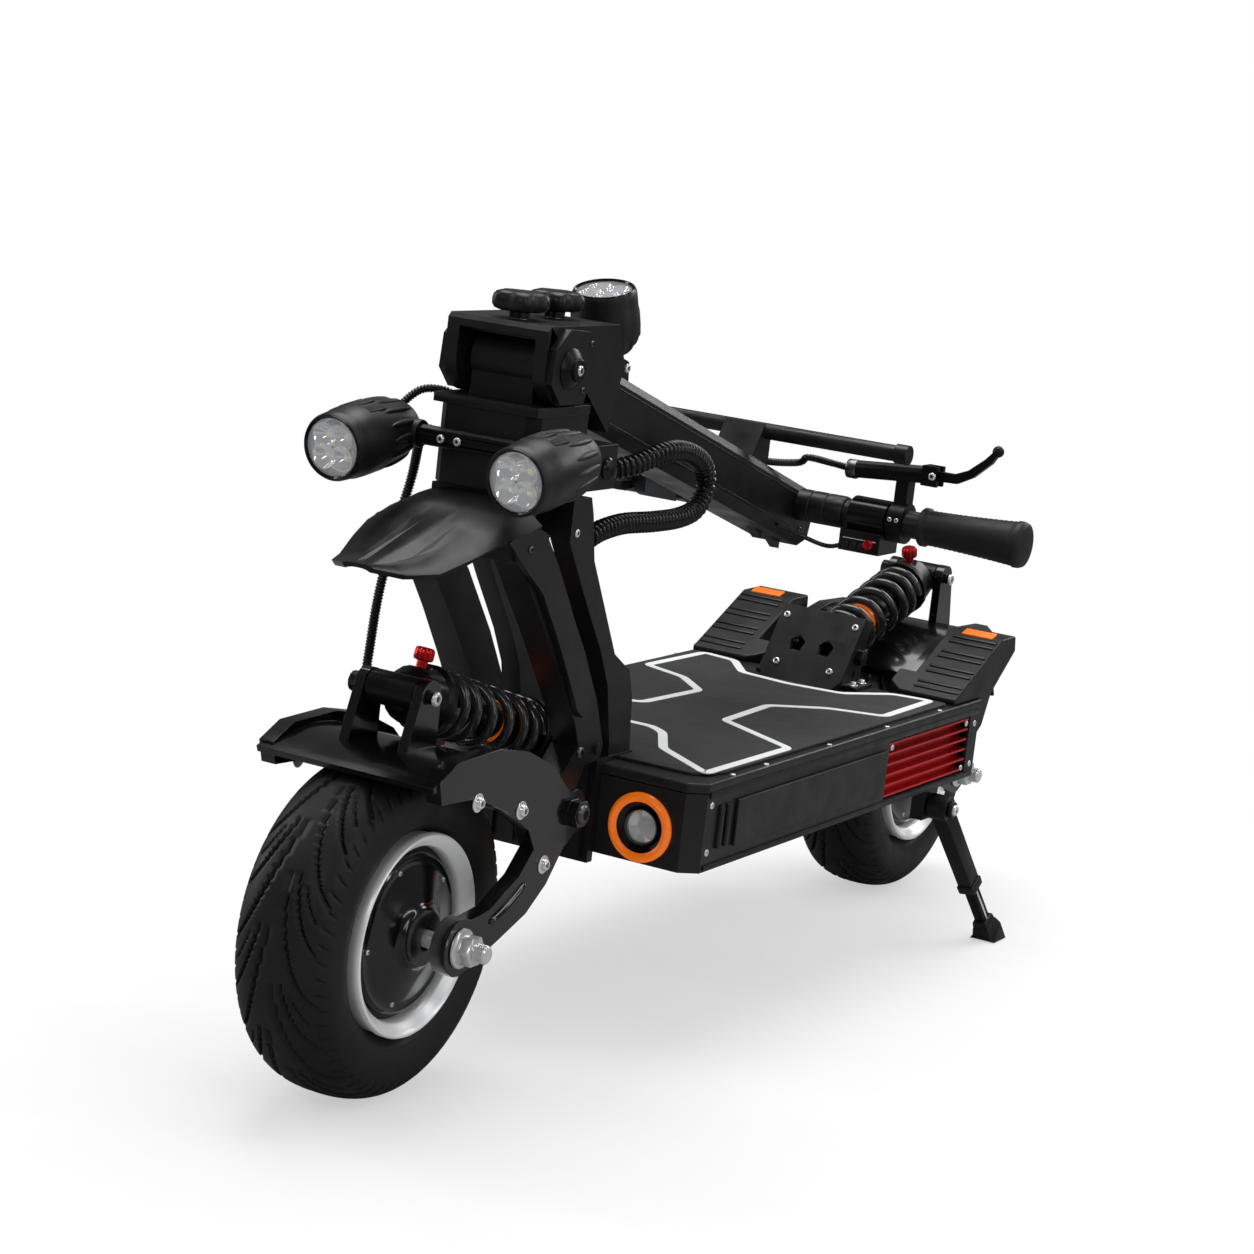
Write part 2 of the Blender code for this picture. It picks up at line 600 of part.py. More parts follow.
def make_deck():
    """Tray, top plate, mat, side covers, heat sinks, lamps and battery."""
    shell = prism(deck_plan(0, 0), "Z", DECK_BOTTOM, DECK_TOP)
    inner = prism(deck_plan(DECK_WALL, DECK_WALL), "Z", DECK_BOTTOM + DECK_WALL,
                  DECK_TOP + 0.01)
    lamp_z = (DECK_BOTTOM + DECK_TOP) / 2 - 0.003
    sink_low, sink_high = DECK_BOTTOM + 0.007, DECK_TOP - 0.005
    cutters = [inner]
    for side in (-1, 1):
        window = sorted((side * (DECK_HALF_WIDTH - 0.02), side * (DECK_HALF_WIDTH + 0.01)))
        cutters.append(box((window[0], SINK_FRONT, sink_low), (window[1], SINK_REAR,
                                                               sink_high)))
        cutters.append(rod((side * DECK_LAMP_X, DECK_FRONT - 0.01, lamp_z),
                           (side * DECK_LAMP_X, DECK_FRONT + 0.02, lamp_z),
                           LAMP_RING_RADIUS - 0.0035, sides=32))
    cut(shell, *cutters)
    boss_y, boss_z = REAR.at(*PIVOT)
    boss = cylinder(-0.066, 0.066, boss_y, boss_z, 0.0150, PAINT, 18)
    lugs = [box((side * 0.052 - 0.012, NOTCH_FRONT - 0.002, boss_z - 0.013),
                (side * 0.052 + 0.012, boss_y, boss_z + 0.010)) for side in (-1, 1)]
    join(shell, boss, *lugs)
    bore = cylinder(-0.08, 0.08, boss_y, boss_z, PIVOT_BOLT_RADIUS + RUNNING, PAINT, 18)
    cut(shell, bore)
    finish(shell, "deck_shell", smooth=25)

    plate = prism(deck_plan(-PLATE_OVERHANG, 0.0), "Z", DECK_TOP + GAP, PLATE_TOP)
    finish(plate, "top_plate", smooth=25)

    half = DECK_HALF_WIDTH - MAT_MARGIN
    mat_front = DECK_FRONT + 0.056
    mat = [(-half, mat_front + 0.040), (-half + 0.045, mat_front), (half - 0.045, mat_front),
           (half, mat_front + 0.040), (half, NOTCH_FRONT - 0.075), (half - 0.052,
           NOTCH_FRONT - 0.078), (-half + 0.052, NOTCH_FRONT - 0.078),
           (-half, NOTCH_FRONT - 0.075)]
    pad = prism(mat, "Z", PLATE_TOP + GAP, PLATE_TOP + GAP + MAT_THICKNESS, RUBBER)
    finish(pad, "deck_mat", smooth=25)

    face = DECK_HALF_WIDTH + GAP
    strip = box((face, COVER_FRONT, DECK_BOTTOM + 0.016),
                (face + COVER_THICKNESS, COVER_REAR, DECK_TOP - 0.012), PLASTIC)
    finish(strip, "side_cover_l", smooth=25)
    mirrored(strip, "side_cover_r")

    inner_x = DECK_HALF_WIDTH - 0.016
    sink = box((inner_x, SINK_FRONT + GAP, sink_low + GAP),
               (inner_x + 0.006, SINK_REAR - GAP, sink_high - GAP), RED)
    pitch = (sink_high - sink_low - 0.006) / (SINK_FINS - 1)
    fins = []
    for k in range(SINK_FINS):
        fin_z = sink_low + 0.002 + k * pitch
        fins.append(box((inner_x + 0.005, SINK_FRONT + 2 * GAP, fin_z),
                        (DECK_HALF_WIDTH - 0.001, SINK_REAR - 2 * GAP, fin_z + 0.0022), RED))
    join(sink, *fins)
    finish(sink, "heat_sink_l", smooth=25)
    mirrored(sink, "heat_sink_r")

    lamp = turned([(0.0, -0.022), (LAMP_RING_RADIUS - 0.0041, -0.022),
                   (LAMP_RING_RADIUS - 0.0041, GAP), (LAMP_RING_RADIUS, GAP),
                   (LAMP_RING_RADIUS, 0.0035), (LAMP_RING_RADIUS - 0.002, 0.0055),
                   (LAMP_RING_RADIUS - 0.007, 0.0055), (LAMP_RING_RADIUS - 0.012, 0.0015),
                   (0.0130, 0.0015), (0.0100, 0.0045), (0.0050, 0.0062), (0.0, 0.0066)],
                  (DECK_LAMP_X, DECK_FRONT, lamp_z), (0, -1, 0), LENS, 18)
    finish(lamp, "deck_lamp_l")
    mirrored(lamp, "deck_lamp_r")

    pack_front = DECK_FRONT + 0.040
    pack_low = DECK_BOTTOM + DECK_WALL + GAP
    pack = box((-inner_x + 0.010, pack_front, pack_low),
               (inner_x - 0.010, pack_front + BATTERY_LENGTH, pack_low + BATTERY_HEIGHT), BLUE)
    finish(pack, "battery_pack", smooth=25)


def make_neck():
    """Frame neck: two arms from the deck up to the head tube, and its bearing."""
    arm = [(-0.335, 0.485), (-0.335, 0.449), (-0.300, 0.400), (-0.262, 0.350),
           (-0.243, 0.318), (-0.228, 0.262), (-0.228, NECK_ROOT_Z + 0.001),
           (-0.190, NECK_ROOT_Z + 0.001), (-0.196, 0.300), (-0.206, 0.326),
           (-0.236, 0.344), (-0.262, 0.385), (-0.290, 0.430), (-0.300, 0.470),
           (-0.306, 0.485)]
    tube = rod((0, STEER_Y, HEAD_TUBE_BOTTOM), (0, STEER_Y, HEAD_TUBE_TOP), HEAD_TUBE_RADIUS,
               PAINT, 18)
    parts = [prism(arm, "X", side * NECK_INNER_X, side * NECK_OUTER_X) for side in (-1, 1)]
    parts.append(box((-NECK_OUTER_X + 0.001, -0.3340, 0.4500),
                     (NECK_OUTER_X - 0.001, -0.3070, 0.4840)))
    width = NECK_OUTER_X + 0.002
    foot = box((-width, DECK_FRONT - 0.0110, NECK_ROOT_Z), (width, -0.1880,
                                                            NECK_ROOT_Z + NECK_FOOT))
    parts.append(foot)
    parts.append(box((-width, DECK_FRONT - 0.0112, DECK_BOTTOM - 0.008),
                     (width, DECK_FRONT - 0.0018, NECK_ROOT_Z + NECK_FOOT - 0.0003)))
    bars = [box((x - 0.004, DECK_FRONT - 0.0150, DECK_BOTTOM - 0.004),
                (x + 0.004, DECK_FRONT - 0.0105, NECK_ROOT_Z + NECK_FOOT - 0.0010))
            for x in (-0.044, -0.022, 0.0, 0.022, 0.044)]
    join(tube, *parts, *bars)
    way = rod((0, STEER_Y, HEAD_TUBE_BOTTOM - 0.01), (0, STEER_Y, HEAD_TUBE_TOP + 0.01),
              STEERER_RADIUS + BEARING_WALL + 2 * GAP, PAINT, 18)
    cut(tube, way)
    finish(tube, "neck_frame", smooth=25)
    inner = STEERER_RADIUS + RUNNING
    bearing = ring(inner + BEARING_WALL - GAP, inner, HEAD_TUBE_BOTTOM + 0.004,
                   HEAD_TUBE_TOP - 0.004, (0, STEER_Y, 0), (0, 0, 1), STEEL, 18)
    finish(bearing, "headset")


def make_rear_mounts():
    """Bent bracket that holds the rear shock, and the two sloped footrests."""
    eye_y, eye_z = REAR.at(*REAR.body_eye)
    base = PLATE_TOP + GAP
    side = [(0.2530, base), (0.3010, 0.3170), (0.3300, 0.3120), (eye_y + 0.018, eye_z + 0.012),
            (NOTCH_FRONT - 0.003, base)]
    inner_x = 0.0365
    plate = prism([(0.2480, base), (0.2540, base), (0.3035, 0.3170), (0.2980, 0.3190)], "X",
                  -0.0460, 0.0460)
    corner = [(-0.060, 0.240), (-0.030, 0.240), (-0.060, 0.275)]
    trims = [prism([(s * x, z) for x, z in corner], "Y", 0.20, 0.35) for s in (-1, 1)]
    slots = [rod((s * 0.016, 0.20, 0.285), (s * 0.016, 0.36, 0.285), 0.0085, sides=5)
             for s in (-1, 1)]
    cut(plate, *trims, *slots)
    cheeks = []
    for s in (-1, 1):
        span = sorted((s * inner_x, s * (inner_x + 0.0045)))
        cheek = prism(side, "X", *span)
        slot = prism([(0.2900, 0.2600), (0.2940, 0.2560), (0.2990, 0.2640), (0.2960, 0.2655)],
                     "X", span[0] - 0.01, span[1] + 0.01)
        cut(cheek, slot)
        cheeks.append(cheek)
        flange = sorted((s * inner_x, s * (inner_x + 0.020)))
        cheeks.append(box((flange[0], 0.2700, base), (flange[1], NOTCH_FRONT - 0.003,
                                                      base + 0.004)))
    pin = cylinder(-inner_x - 0.012, inner_x + 0.012, eye_y, eye_z, SHOCK_PIN_RADIUS, sides=16)
    heads = [cylinder(*sorted((s * (inner_x + 0.003), s * (inner_x + 0.0115))), eye_y, eye_z,
                      0.0085, sides=6) for s in (-1, 1)]
    join(plate, *cheeks, pin, *heads)
    finish(plate, "rear_bracket", smooth=25)

    low = PLATE_TOP + GAP
    rear = DECK_REAR + PLATE_OVERHANG + GAP
    step = 0.0255
    run = [(0.3060, low), (0.3060, low + 0.006)]
    for k in range(4):
        y, z = 0.3120 + k * step, low + 0.008 + k * 0.0125
        run += [(y, z), (y + step - 0.005, z + 0.010)]
    run += [(0.4480, low + 0.0560), (0.4520, low + 0.0400), (0.4000, low + 0.0010),
            (0.3860, low - 0.0300), (rear, low - 0.0420),
            (rear, low)]
    pad = prism(run, "X", 0.0720, 0.1500, PLASTIC)
    shear = prism([(0.0700, 0.2900), (0.1060, 0.2900), (0.0700, 0.3200)], "Z", 0.20, 0.40)
    lean = prism([(0.0700, 0.3800), (0.0950, 0.4600), (0.0700, 0.4600)], "Z", 0.15, 0.40)
    arm_way = box((0.05, 0.3380, 0.15), (ARM_OUTER_X + 0.0040, 0.50, 0.40))
    cut(pad, shear, lean, arm_way)
    finish(pad, "footrest_l", smooth=20)
    mirrored(pad, "footrest_r")

    start, stop = 90 + 24.3, 90 + 66
    shell = arc((0, 0), BRIDGE_OUTER, start, stop, 12)
    shell_in = arc((0, 0), BRIDGE_INNER + 0.002, stop, start, 12)
    fender = prism(REAR.outline([(u, v) for u, v in shell + shell_in]), "X", -0.0620, 0.0620,
                   PLASTIC)
    finish(fender, "rear_fender", REAR.point(PIVOT))


def make_kickstand():
    """Bracket under the deck and the swinging leg."""
    px, py, pz = STAND_PIVOT
    bracket = box((px - 0.026, py - 0.016, pz - 0.014), (px - 0.012, py + 0.016,
                                                         DECK_BOTTOM - GAP))
    pin = cylinder(px - 0.020, px + 0.0145, py, pz, 0.0050, STEEL, 12)
    cap = cylinder(px + 0.0105, px + 0.0150, py, pz, 0.0085, STEEL, 12)
    join(bracket, pin, cap)
    finish(bracket, "kickstand_bracket")

    along = STAND_FOOT - STAND_PIVOT
    elbow = STAND_PIVOT + along * 0.60
    ankle = STAND_PIVOT + along * 0.90
    eye = cylinder(px - 0.0105, px + 0.0100, py, pz, 0.0130, PAINT, 18)
    upper = rod(STAND_PIVOT + along * 0.04, elbow, STAND_RADIUS, PAINT, 12)
    lower = rod(elbow - along * 0.05, ankle, STAND_RADIUS * 0.68, PAINT, 12)
    fx, fy, _ = STAND_FOOT
    foot = box((fx - 0.014, fy - 0.024, 0.0), (fx + 0.014, fy + 0.014, 0.0200))
    join(eye, upper, lower, foot)
    bore = cylinder(px - 0.02, px + 0.02, py, pz, 0.0050 + RUNNING, PAINT, 12)
    cut(eye, bore)
    finish(eye, "kickstand_leg", STAND_PIVOT)


# ------------------------------------------------------------------- steering
def make_fork():
    """Leading-link fork: crown, two legs, lower barrel and shock pin."""
    py, pz = FRONT.at(*PIVOT)
    ey, ez = FRONT.at(*FRONT.body_eye)
    leg = [(-0.440, 0.4590), (-0.440, 0.452), (-0.418, 0.436), (-0.360, 0.367),
           (py + 0.034, pz + 0.065),
           (py + 0.043, pz + 0.045), (py + 0.020, pz + 0.023), (py - 0.014, pz + 0.012)]
    leg += arc((py, pz), 0.0175, 140, 290, 6)
    leg += [(py + 0.036, pz - 0.009), (ey - 0.016, ez - 0.0125)]
    leg += arc((ey, ez), 0.0115, -70, 30, 4)
    leg += [(py + 0.066, pz + 0.083), (-0.300, 0.355), (-0.345, 0.412), (-0.385, 0.450),
            (-0.385, 0.4590)]
    crown = box((-LEG_OUTER_X, -0.4390, 0.4420), (LEG_OUTER_X, -0.3795, 0.4600))
    parts = [box((-0.0450, -0.3990, 0.4550), (0.0450, -0.3790, CLAMP_BOTTOM - GAP))]
    for side in (-1, 1):
        parts.append(prism(leg, "X", *sorted((side * LEG_INNER_X, side * (LEG_OUTER_X - 0.0002)))))
    parts.append(cylinder(-0.066, 0.066, py, pz, 0.0140, PAINT, 18))
    parts.append(cylinder(-LEG_OUTER_X - 0.003, LEG_OUTER_X + 0.003, ey, ez,
                          SHOCK_PIN_RADIUS, PAINT, 12))
    join(crown, *parts)
    way = rod((0, STEER_Y, 0.43), (0, STEER_Y, 0.50), HEAD_TUBE_RADIUS + 0.0020, PAINT, 18)
    bore = cylinder(-0.08, 0.08, py, pz, PIVOT_BOLT_RADIUS + RUNNING, PAINT, 18)
    cut(crown, way, bore)
    finish(crown, "fork", (0, STEER_Y, pz), 25)


def arch(y, half, edge, top, thickness, steps=12):
    """One closed section of the beak fender."""
    outer, inner = [], []
    for k in range(steps + 1):
        share = -1 + 2 * k / steps
        lift = (1 - abs(share) ** 3.0)
        outer.append((half * share, y, edge + (top - edge) * lift))
        inner.append(((half - thickness * 0.8) * share, y,
                      edge + (top - edge) * lift - thickness))
    return outer + inner[::-1]


def make_fork_fender():
    """Pointed beak over the crown with a blade down each leg."""
    stations = [(-0.5640, 0.0100, 0.4400, 0.4420), (-0.5480, 0.0250, 0.4420, 0.4470),
                (-0.5200, 0.0380, 0.4460, 0.4570), (-0.4900, 0.0510, 0.4520, 0.4680),
                (-0.4620, 0.0610, 0.4580, 0.4780), (-0.4430, 0.0650, 0.4620, 0.4830),
                (-0.4180, 0.0660, 0.4660, 0.4860), (-0.4030, 0.0660, 0.4700, 0.4880)]
    shell = loft([arch(y, half, edge, top, 0.0035) for y, half, edge, top in stations],
                 PLASTIC)
    blade = [(-0.4500, 0.4590), (-0.4240, 0.4380), (-0.3900, 0.4130), (-0.3600, 0.3750),
             (-0.3300, 0.3330), (-0.3120, 0.3060), (-0.3000, 0.2980), (-0.2900, 0.3060),
             (-0.3080, 0.3450), (-0.3400, 0.3950), (-0.3700, 0.4350), (-0.3950, 0.4640),
             (-0.4060, 0.4680), (-0.4440, 0.4620)]
    face = LEG_OUTER_X + GAP
    blades = [prism(blade, "X", *sorted((s * face, s * (face + 0.0055))), PLASTIC)
              for s in (-1, 1)]
    join(shell, *blades)
    finish(shell, "fork_fender", (0, STEER_Y, 0.45), 30)


def make_clamp_block():
    """Steering block over the head tube: steerer, lamp bar, cable outlet, flange."""
    bevel = 0.010
    plan = [(CLAMP_HALF_WIDTH - bevel, CLAMP_FRONT), (CLAMP_HALF_WIDTH, CLAMP_FRONT + bevel),
            (CLAMP_HALF_WIDTH, CLAMP_REAR - bevel), (CLAMP_HALF_WIDTH - bevel, CLAMP_REAR)]
    plan += [(-x, y) for x, y in reversed(plan)]
    block = prism(plan, "Z", CLAMP_BOTTOM, CLAMP_TOP)
    well = rod((0, STEER_Y, CLAMP_BOTTOM - 0.01), (0, STEER_Y, HEAD_TUBE_TOP + 0.003),
               HEAD_TUBE_RADIUS + 0.0015, PAINT, 18)
    cut(block, well)
    wide = CLAMP_HALF_WIDTH + 0.002
    flange = box((-wide, CLAMP_FRONT - 0.002, CLAMP_TOP - 0.001),
                 (wide, FOLD_Y + 0.046, FLANGE_TOP))
    steerer = rod((0, STEER_Y, HEAD_TUBE_BOTTOM + 0.002), (0, STEER_Y, CLAMP_TOP - 0.002),
                  STEERER_RADIUS, STEEL, 18)
    knuckle = cylinder(-0.030, 0.030, FOLD_Y, FOLD_Z, KNUCKLE_RADIUS, PAINT, 18)
    root = box((-0.030, FOLD_Y - 0.0160, FLANGE_TOP - 0.001), (0.030, FOLD_Y + 0.0160, FOLD_Z))
    reach = HEAD_HALF_WIDTH + 0.0125
    pin = cylinder(-reach, reach, FOLD_Y, FOLD_Z, FOLD_PIN_RADIUS, STEEL, 18)
    bar_y = CLAMP_FRONT - LAMP_BAR_RADIUS * 0.4
    bar = cylinder(-LAMP_BAR_HALF, LAMP_BAR_HALF, bar_y, LAMP_Z, LAMP_BAR_RADIUS, PAINT, 12)
    outlet = box((-0.018, CLAMP_REAR - 0.002, 0.4880), (0.046, -0.2560, 0.5260), PLASTIC)
    spout = rod((0.030, -0.258, 0.500), (0.030, -0.2480, 0.500), 0.0118, PLASTIC, 18)
    join(block, flange, steerer, knuckle, root, pin, bar, outlet, spout)
    finish(block, "clamp_block", (0, STEER_Y, CLAMP_BOTTOM), 25)


def make_lamp(lens, aim, radius, length):
    """Work lamp: flared shell with a dished lens front."""
    profile = [(0.0, 0.0035), (radius * 0.66, 0.0035), (radius * 0.70, 0.0),
               (radius * 0.80, -0.0005), (radius * 0.84, 0.006), (radius * 0.86, 0.018),
               (radius, 0.026), (radius, 0.040), (radius * 0.90, 0.060),
               (radius * 0.72, length - 0.008), (radius * 0.50, length), (0.0, length)]
    return turned(profile, lens, -Vector(aim), PLASTIC, 18)


def make_front_lamps():
    """Two lamps that tilt on the ends of the crossbar."""
    tilt = math.radians(8)
    aim = Vector((0, -math.cos(tilt), -math.sin(tilt)))
    bar_y = CLAMP_FRONT - LAMP_BAR_RADIUS * 0.4
    mount = Vector((LAMP_X, bar_y, LAMP_Z))
    lens = mount + aim * 0.085
    lamp = make_lamp(lens, aim, LAMP_RADIUS, LAMP_LENGTH)
    socket = cylinder(LAMP_BAR_HALF + GAP, LAMP_X, bar_y, LAMP_Z, 0.0115, PLASTIC, 18)
    join(lamp, socket)
    finish(lamp, "lamp_l", mount)
    mirrored(lamp, "lamp_r")


# ----------------------------------------------------------------------- stem
def on_stem(along, above=0.0, x=0.0):
    """A point given along and above the stem's centre line."""
    return FOLD_POINT + STEM_DIR * along + STEM_UP * above + Vector((x, 0, 0))


def make_hinge_head():
    """Folding head: open-fronted box with six-sided cheeks on the fold pin."""
    reach = FOLD_HEIGHT
    top = 0.0340
    rear_low = on_stem(STEM_START - GAP, -0.0300) - FOLD_POINT
    rear_top = on_stem(STEM_START - GAP, 0.0290) - FOLD_POINT
    outline = [(-reach, top - 0.004), (-reach + 0.004, top), (0.084, top),
               (rear_top.y, rear_top.z), (rear_low.y, rear_low.z), (0.051, -reach)]
    outline += arc((0, 0), reach, 270, 180, 8)
    outline = [(FOLD_Y + y, FOLD_Z + z) for y, z in outline]
    head = prism(outline, "X", -HEAD_HALF_WIDTH, HEAD_HALF_WIDTH)
    hollow = box((-CHEEK_INNER_X, FOLD_Y - 0.06, FOLD_Z - 0.06),
                 (CHEEK_INNER_X, FOLD_Y + 0.0280, FOLD_Z + 0.0240))
    cut(head, hollow)
    hexes = []
    for side in (-1, 1):
        span = sorted((side * (HEAD_HALF_WIDTH - 0.001), side * (HEAD_HALF_WIDTH + 0.006)))
        six = [(FOLD_Y + y, FOLD_Z + z) for y, z in
               ((-0.026, 0.016), (-0.006, 0.032), (0.026, 0.030), (0.040, 0.008),
                (0.026, -0.029), (-0.012, -0.0285), (-0.0285, -0.012))]
        hexes.append(prism(six, "X", *span))
    join(head, *hexes)
    bore = cylinder(-0.08, 0.08, FOLD_Y, FOLD_Z, FOLD_PIN_RADIUS + RUNNING, PAINT, 18)
    cut(head, bore)
    finish(head, "hinge_head", FOLD_POINT, 25)


def square_loop(along, half_x, half_z, bevel):
    """A bevelled square section across the stem."""
    corners = [(half_x - bevel, half_z), (half_x, half_z - bevel), (half_x, -half_z + bevel),
               (half_x - bevel, -half_z)]
    corners += [(-x, z) for x, z in reversed(corners)]
    return [on_stem(along, z, x) for x, z in corners]


def make_stem():
    """Hollow bevelled stem with a plugged end, cross-bored for the handlebar."""
    stem = loft([square_loop(a, STEM_HALF_WIDTH, STEM_HALF_HEIGHT, STEM_BEVEL)
                 for a in (STEM_START, STEM_LENGTH)])
    inner = loft([square_loop(a, STEM_HALF_WIDTH - STEM_WALL, STEM_HALF_HEIGHT - STEM_WALL,
                              STEM_BEVEL - STEM_WALL * 0.4)
                  for a in (STEM_START - 0.01, BAR_ALONG - BAR_RADIUS - 0.012)])
    bore = cylinder(-0.08, 0.08, BAR_CENTRE.y, BAR_CENTRE.z, BAR_RADIUS + GAP, PAINT, 18)
    cut(stem, inner, bore)
    hooks = []
    for along in (0.505, 0.548):
        tip = [on_stem(along + d, -h) for d, h in
               ((-0.012, 0.0265), (0.010, 0.0265), (0.012, 0.0340))]
        hooks.append(prism([(p.y, p.z) for p in tip], "X", -0.0050, 0.0050))
    low, high = STEM_HALF_HEIGHT - 0.0010, STEM_HALF_HEIGHT + 0.0175
    ear = [on_stem(LAMP_MOUNT_ALONG + a, h) for a, h in ((-0.0170, low), (0.0170, low),
                                                         (0.0080, high), (-0.0080, high))]
    ears = [prism([(p.y, p.z) for p in ear], "X", *sorted((s * 0.0128, s * 0.0160)))
            for s in (-1, 1)]
    mount = on_stem(LAMP_MOUNT_ALONG, LAMP_MOUNT_ABOVE)
    pin = cylinder(-0.0200, 0.0200, mount.y, mount.z, LAMP_PIN_RADIUS, PAINT, 12)
    join(stem, *hooks, *ears, pin)
    finish(stem, "stem_tube", FOLD_POINT, 25)


def make_handlebar():
    """Bar with collars, grips, accessory tube, brakes, switches and throttle."""
    y, z = BAR_CENTRE.y, BAR_CENTRE.z
    bar = ring(BAR_RADIUS, BAR_RADIUS - BAR_WALL, -BAR_HALF_LENGTH, BAR_HALF_LENGTH,
               BAR_CENTRE, (1, 0, 0), PAINT, 18)
    for side in (-1, 1):
        start = STEM_HALF_WIDTH + GAP
        waist = COLLAR_RADIUS - 0.0013
        collar = turned([(BAR_RADIUS - 0.001, start), (COLLAR_RADIUS, start),
                         (COLLAR_RADIUS, start + 0.014), (waist, start + 0.016),
                         (COLLAR_RADIUS, start + 0.018), (COLLAR_RADIUS, COLLAR_END - 0.004),
                         (waist, COLLAR_END), (BAR_RADIUS - 0.001, COLLAR_END)],
                        BAR_CENTRE, (side, 0, 0), PAINT, 18)
        join(bar, collar)
    finish(bar, "handlebar", FOLD_POINT, 40)

    grip_in = BAR_HALF_LENGTH - GRIP_LENGTH
    radius = GRIP_RADIUS
    bore = BAR_RADIUS + 2 * GAP
    profile = [(bore, grip_in), (radius, grip_in), (radius, grip_in + 0.004),
               (radius - 0.0015, grip_in + 0.010), (radius + 0.001, grip_in + 0.045),
               (radius + 0.004, grip_in + 0.080), (radius + 0.0045, grip_in + 0.094),
               (radius + 0.001, grip_in + 0.103), (0.0, grip_in + GRIP_LENGTH + 0.002),
               (0.0, BAR_HALF_LENGTH + GAP), (bore, BAR_HALF_LENGTH + GAP)]
    grip = turned(profile, BAR_CENTRE, (1, 0, 0), RUBBER, 18)
    finish(grip, "grip_l", FOLD_POINT, 50)
    mirrored(grip, "grip_r")

    # Accessory tube on a bridge clamped to the stem
    tube_centre = on_stem(0.4400, STEM_HALF_HEIGHT + 0.0290)
    tube = cylinder(-ACCESSORY_HALF, ACCESSORY_HALF, tube_centre.y, tube_centre.z,
                    ACCESSORY_RADIUS, PAINT, 18)
    caps = [cylinder(*sorted((s * (ACCESSORY_HALF - 0.010), s * (ACCESSORY_HALF + 0.003))),
                     tube_centre.y, tube_centre.z, ACCESSORY_RADIUS + 0.0016, PAINT, 18)
            for s in (-1, 1)]
    saddle = [on_stem(a, h) for a, h in ((0.4220, STEM_HALF_HEIGHT + GAP),
                                         (0.4580, STEM_HALF_HEIGHT + GAP),
                                         (0.4480, STEM_HALF_HEIGHT + 0.0340),
                                         (0.4320, STEM_HALF_HEIGHT + 0.0340))]
    clamp = prism([(p.y, p.z) for p in saddle], "X", -0.0210, 0.0210)
    join(tube, *caps, clamp)
    finish(tube, "accessory_bar", FOLD_POINT, 35)

    # Brake perch with its master cylinder, and the lever
    perch_in, perch_out = 0.1290, 0.1440
    perch = ring(BAR_RADIUS + 0.0065, BAR_RADIUS + GAP, perch_in, perch_out, BAR_CENTRE,
                 (1, 0, 0), PAINT, 18)
    post = box((perch_in + 0.001, y - 0.0080, z + BAR_RADIUS + 0.003),
               (perch_out - 0.001, y + 0.0080, z + 0.0420))
    master = rod((0.0780, y - 0.002, z + 0.0430), (0.1640, y - 0.002, z + 0.0500), 0.0085,
                 PAINT, 12)
    ears = box((0.1560, y - 0.0110, z + 0.0400), (0.1720, y + 0.0070, z + 0.0590))
    join(perch, post, master, ears)
    slot = box((0.1620, y - 0.0062, z + 0.03), (0.19, y + 0.0022, z + 0.07))
    cut(perch, slot)
    lever_pivot = Vector((0.1680, y - 0.002, z + 0.0500))
    pin = rod(lever_pivot - Vector((0, 0.0110, 0)), lever_pivot + Vector((0, 0.0110, 0)),
              0.0022, STEEL, 12)
    join(perch, pin)
    finish(perch, "brake_perch_l", FOLD_POINT, 35)
    mirrored(perch, "brake_perch_r")

    blade = [(0.1640, -0.0042), (0.1720, -0.0046), (0.1900, -0.0040), (0.2050, 0.0040),
             (0.2220, 0.0200), (0.2280, 0.0300), (0.2240, 0.0330), (0.2150, 0.0230),
             (0.2000, 0.0105), (0.1860, 0.0046), (0.1700, 0.0046), (0.1640, 0.0042)]
    blade = [(x, lever_pivot.z + dz) for x, dz in blade]
    lever = prism(blade, "Y", lever_pivot.y - 0.0036, lever_pivot.y + 0.0036)
    ball_at = Vector((0.2260, lever_pivot.y, lever_pivot.z + 0.0320))
    ball = turned([(0.0, -0.0055), (0.0032, -0.0045), (0.0055, 0.0), (0.0032, 0.0045),
                   (0.0, 0.0055)], ball_at, (0, 1, 0), PAINT, 14)
    join(lever, ball)
    hole = rod(lever_pivot - Vector((0, 0.02, 0)), lever_pivot + Vector((0, 0.02, 0)),
               0.0022 + GAP, PAINT, 12)
    cut(lever, hole)
    finish(lever, "brake_lever_l", lever_pivot, 35)
    mirrored(lever, "brake_lever_r")

    # Switch pod on the left, with its horn button
    pod = cylinder(0.0880, 0.1260, y, z, BAR_RADIUS + 0.0055, PLASTIC, 18)
    case = box((0.0860, y - 0.0240, z - 0.0320), (0.1280, y + 0.0180, z - BAR_RADIUS + 0.001),
               PLASTIC)
    join(pod, case)
    hole = cylinder(0.08, 0.13, y, z, BAR_RADIUS + GAP, PLASTIC, 18)
    press = Vector((0.1170, y - 0.0240, z - 0.0230))
    well = rod(press - Vector((0, 0.01, 0)), press + Vector((0, 0.0060, 0)), 0.0056, PLASTIC,
               12)
    cut(pod, hole, well)
    finish(pod, "switch_pod", FOLD_POINT, 35)
    button = rod(press + Vector((0, -0.0030, 0)), press + Vector((0, 0.0030, 0)), 0.0050, RED,
                 12)
    finish(button, "horn_button", press)

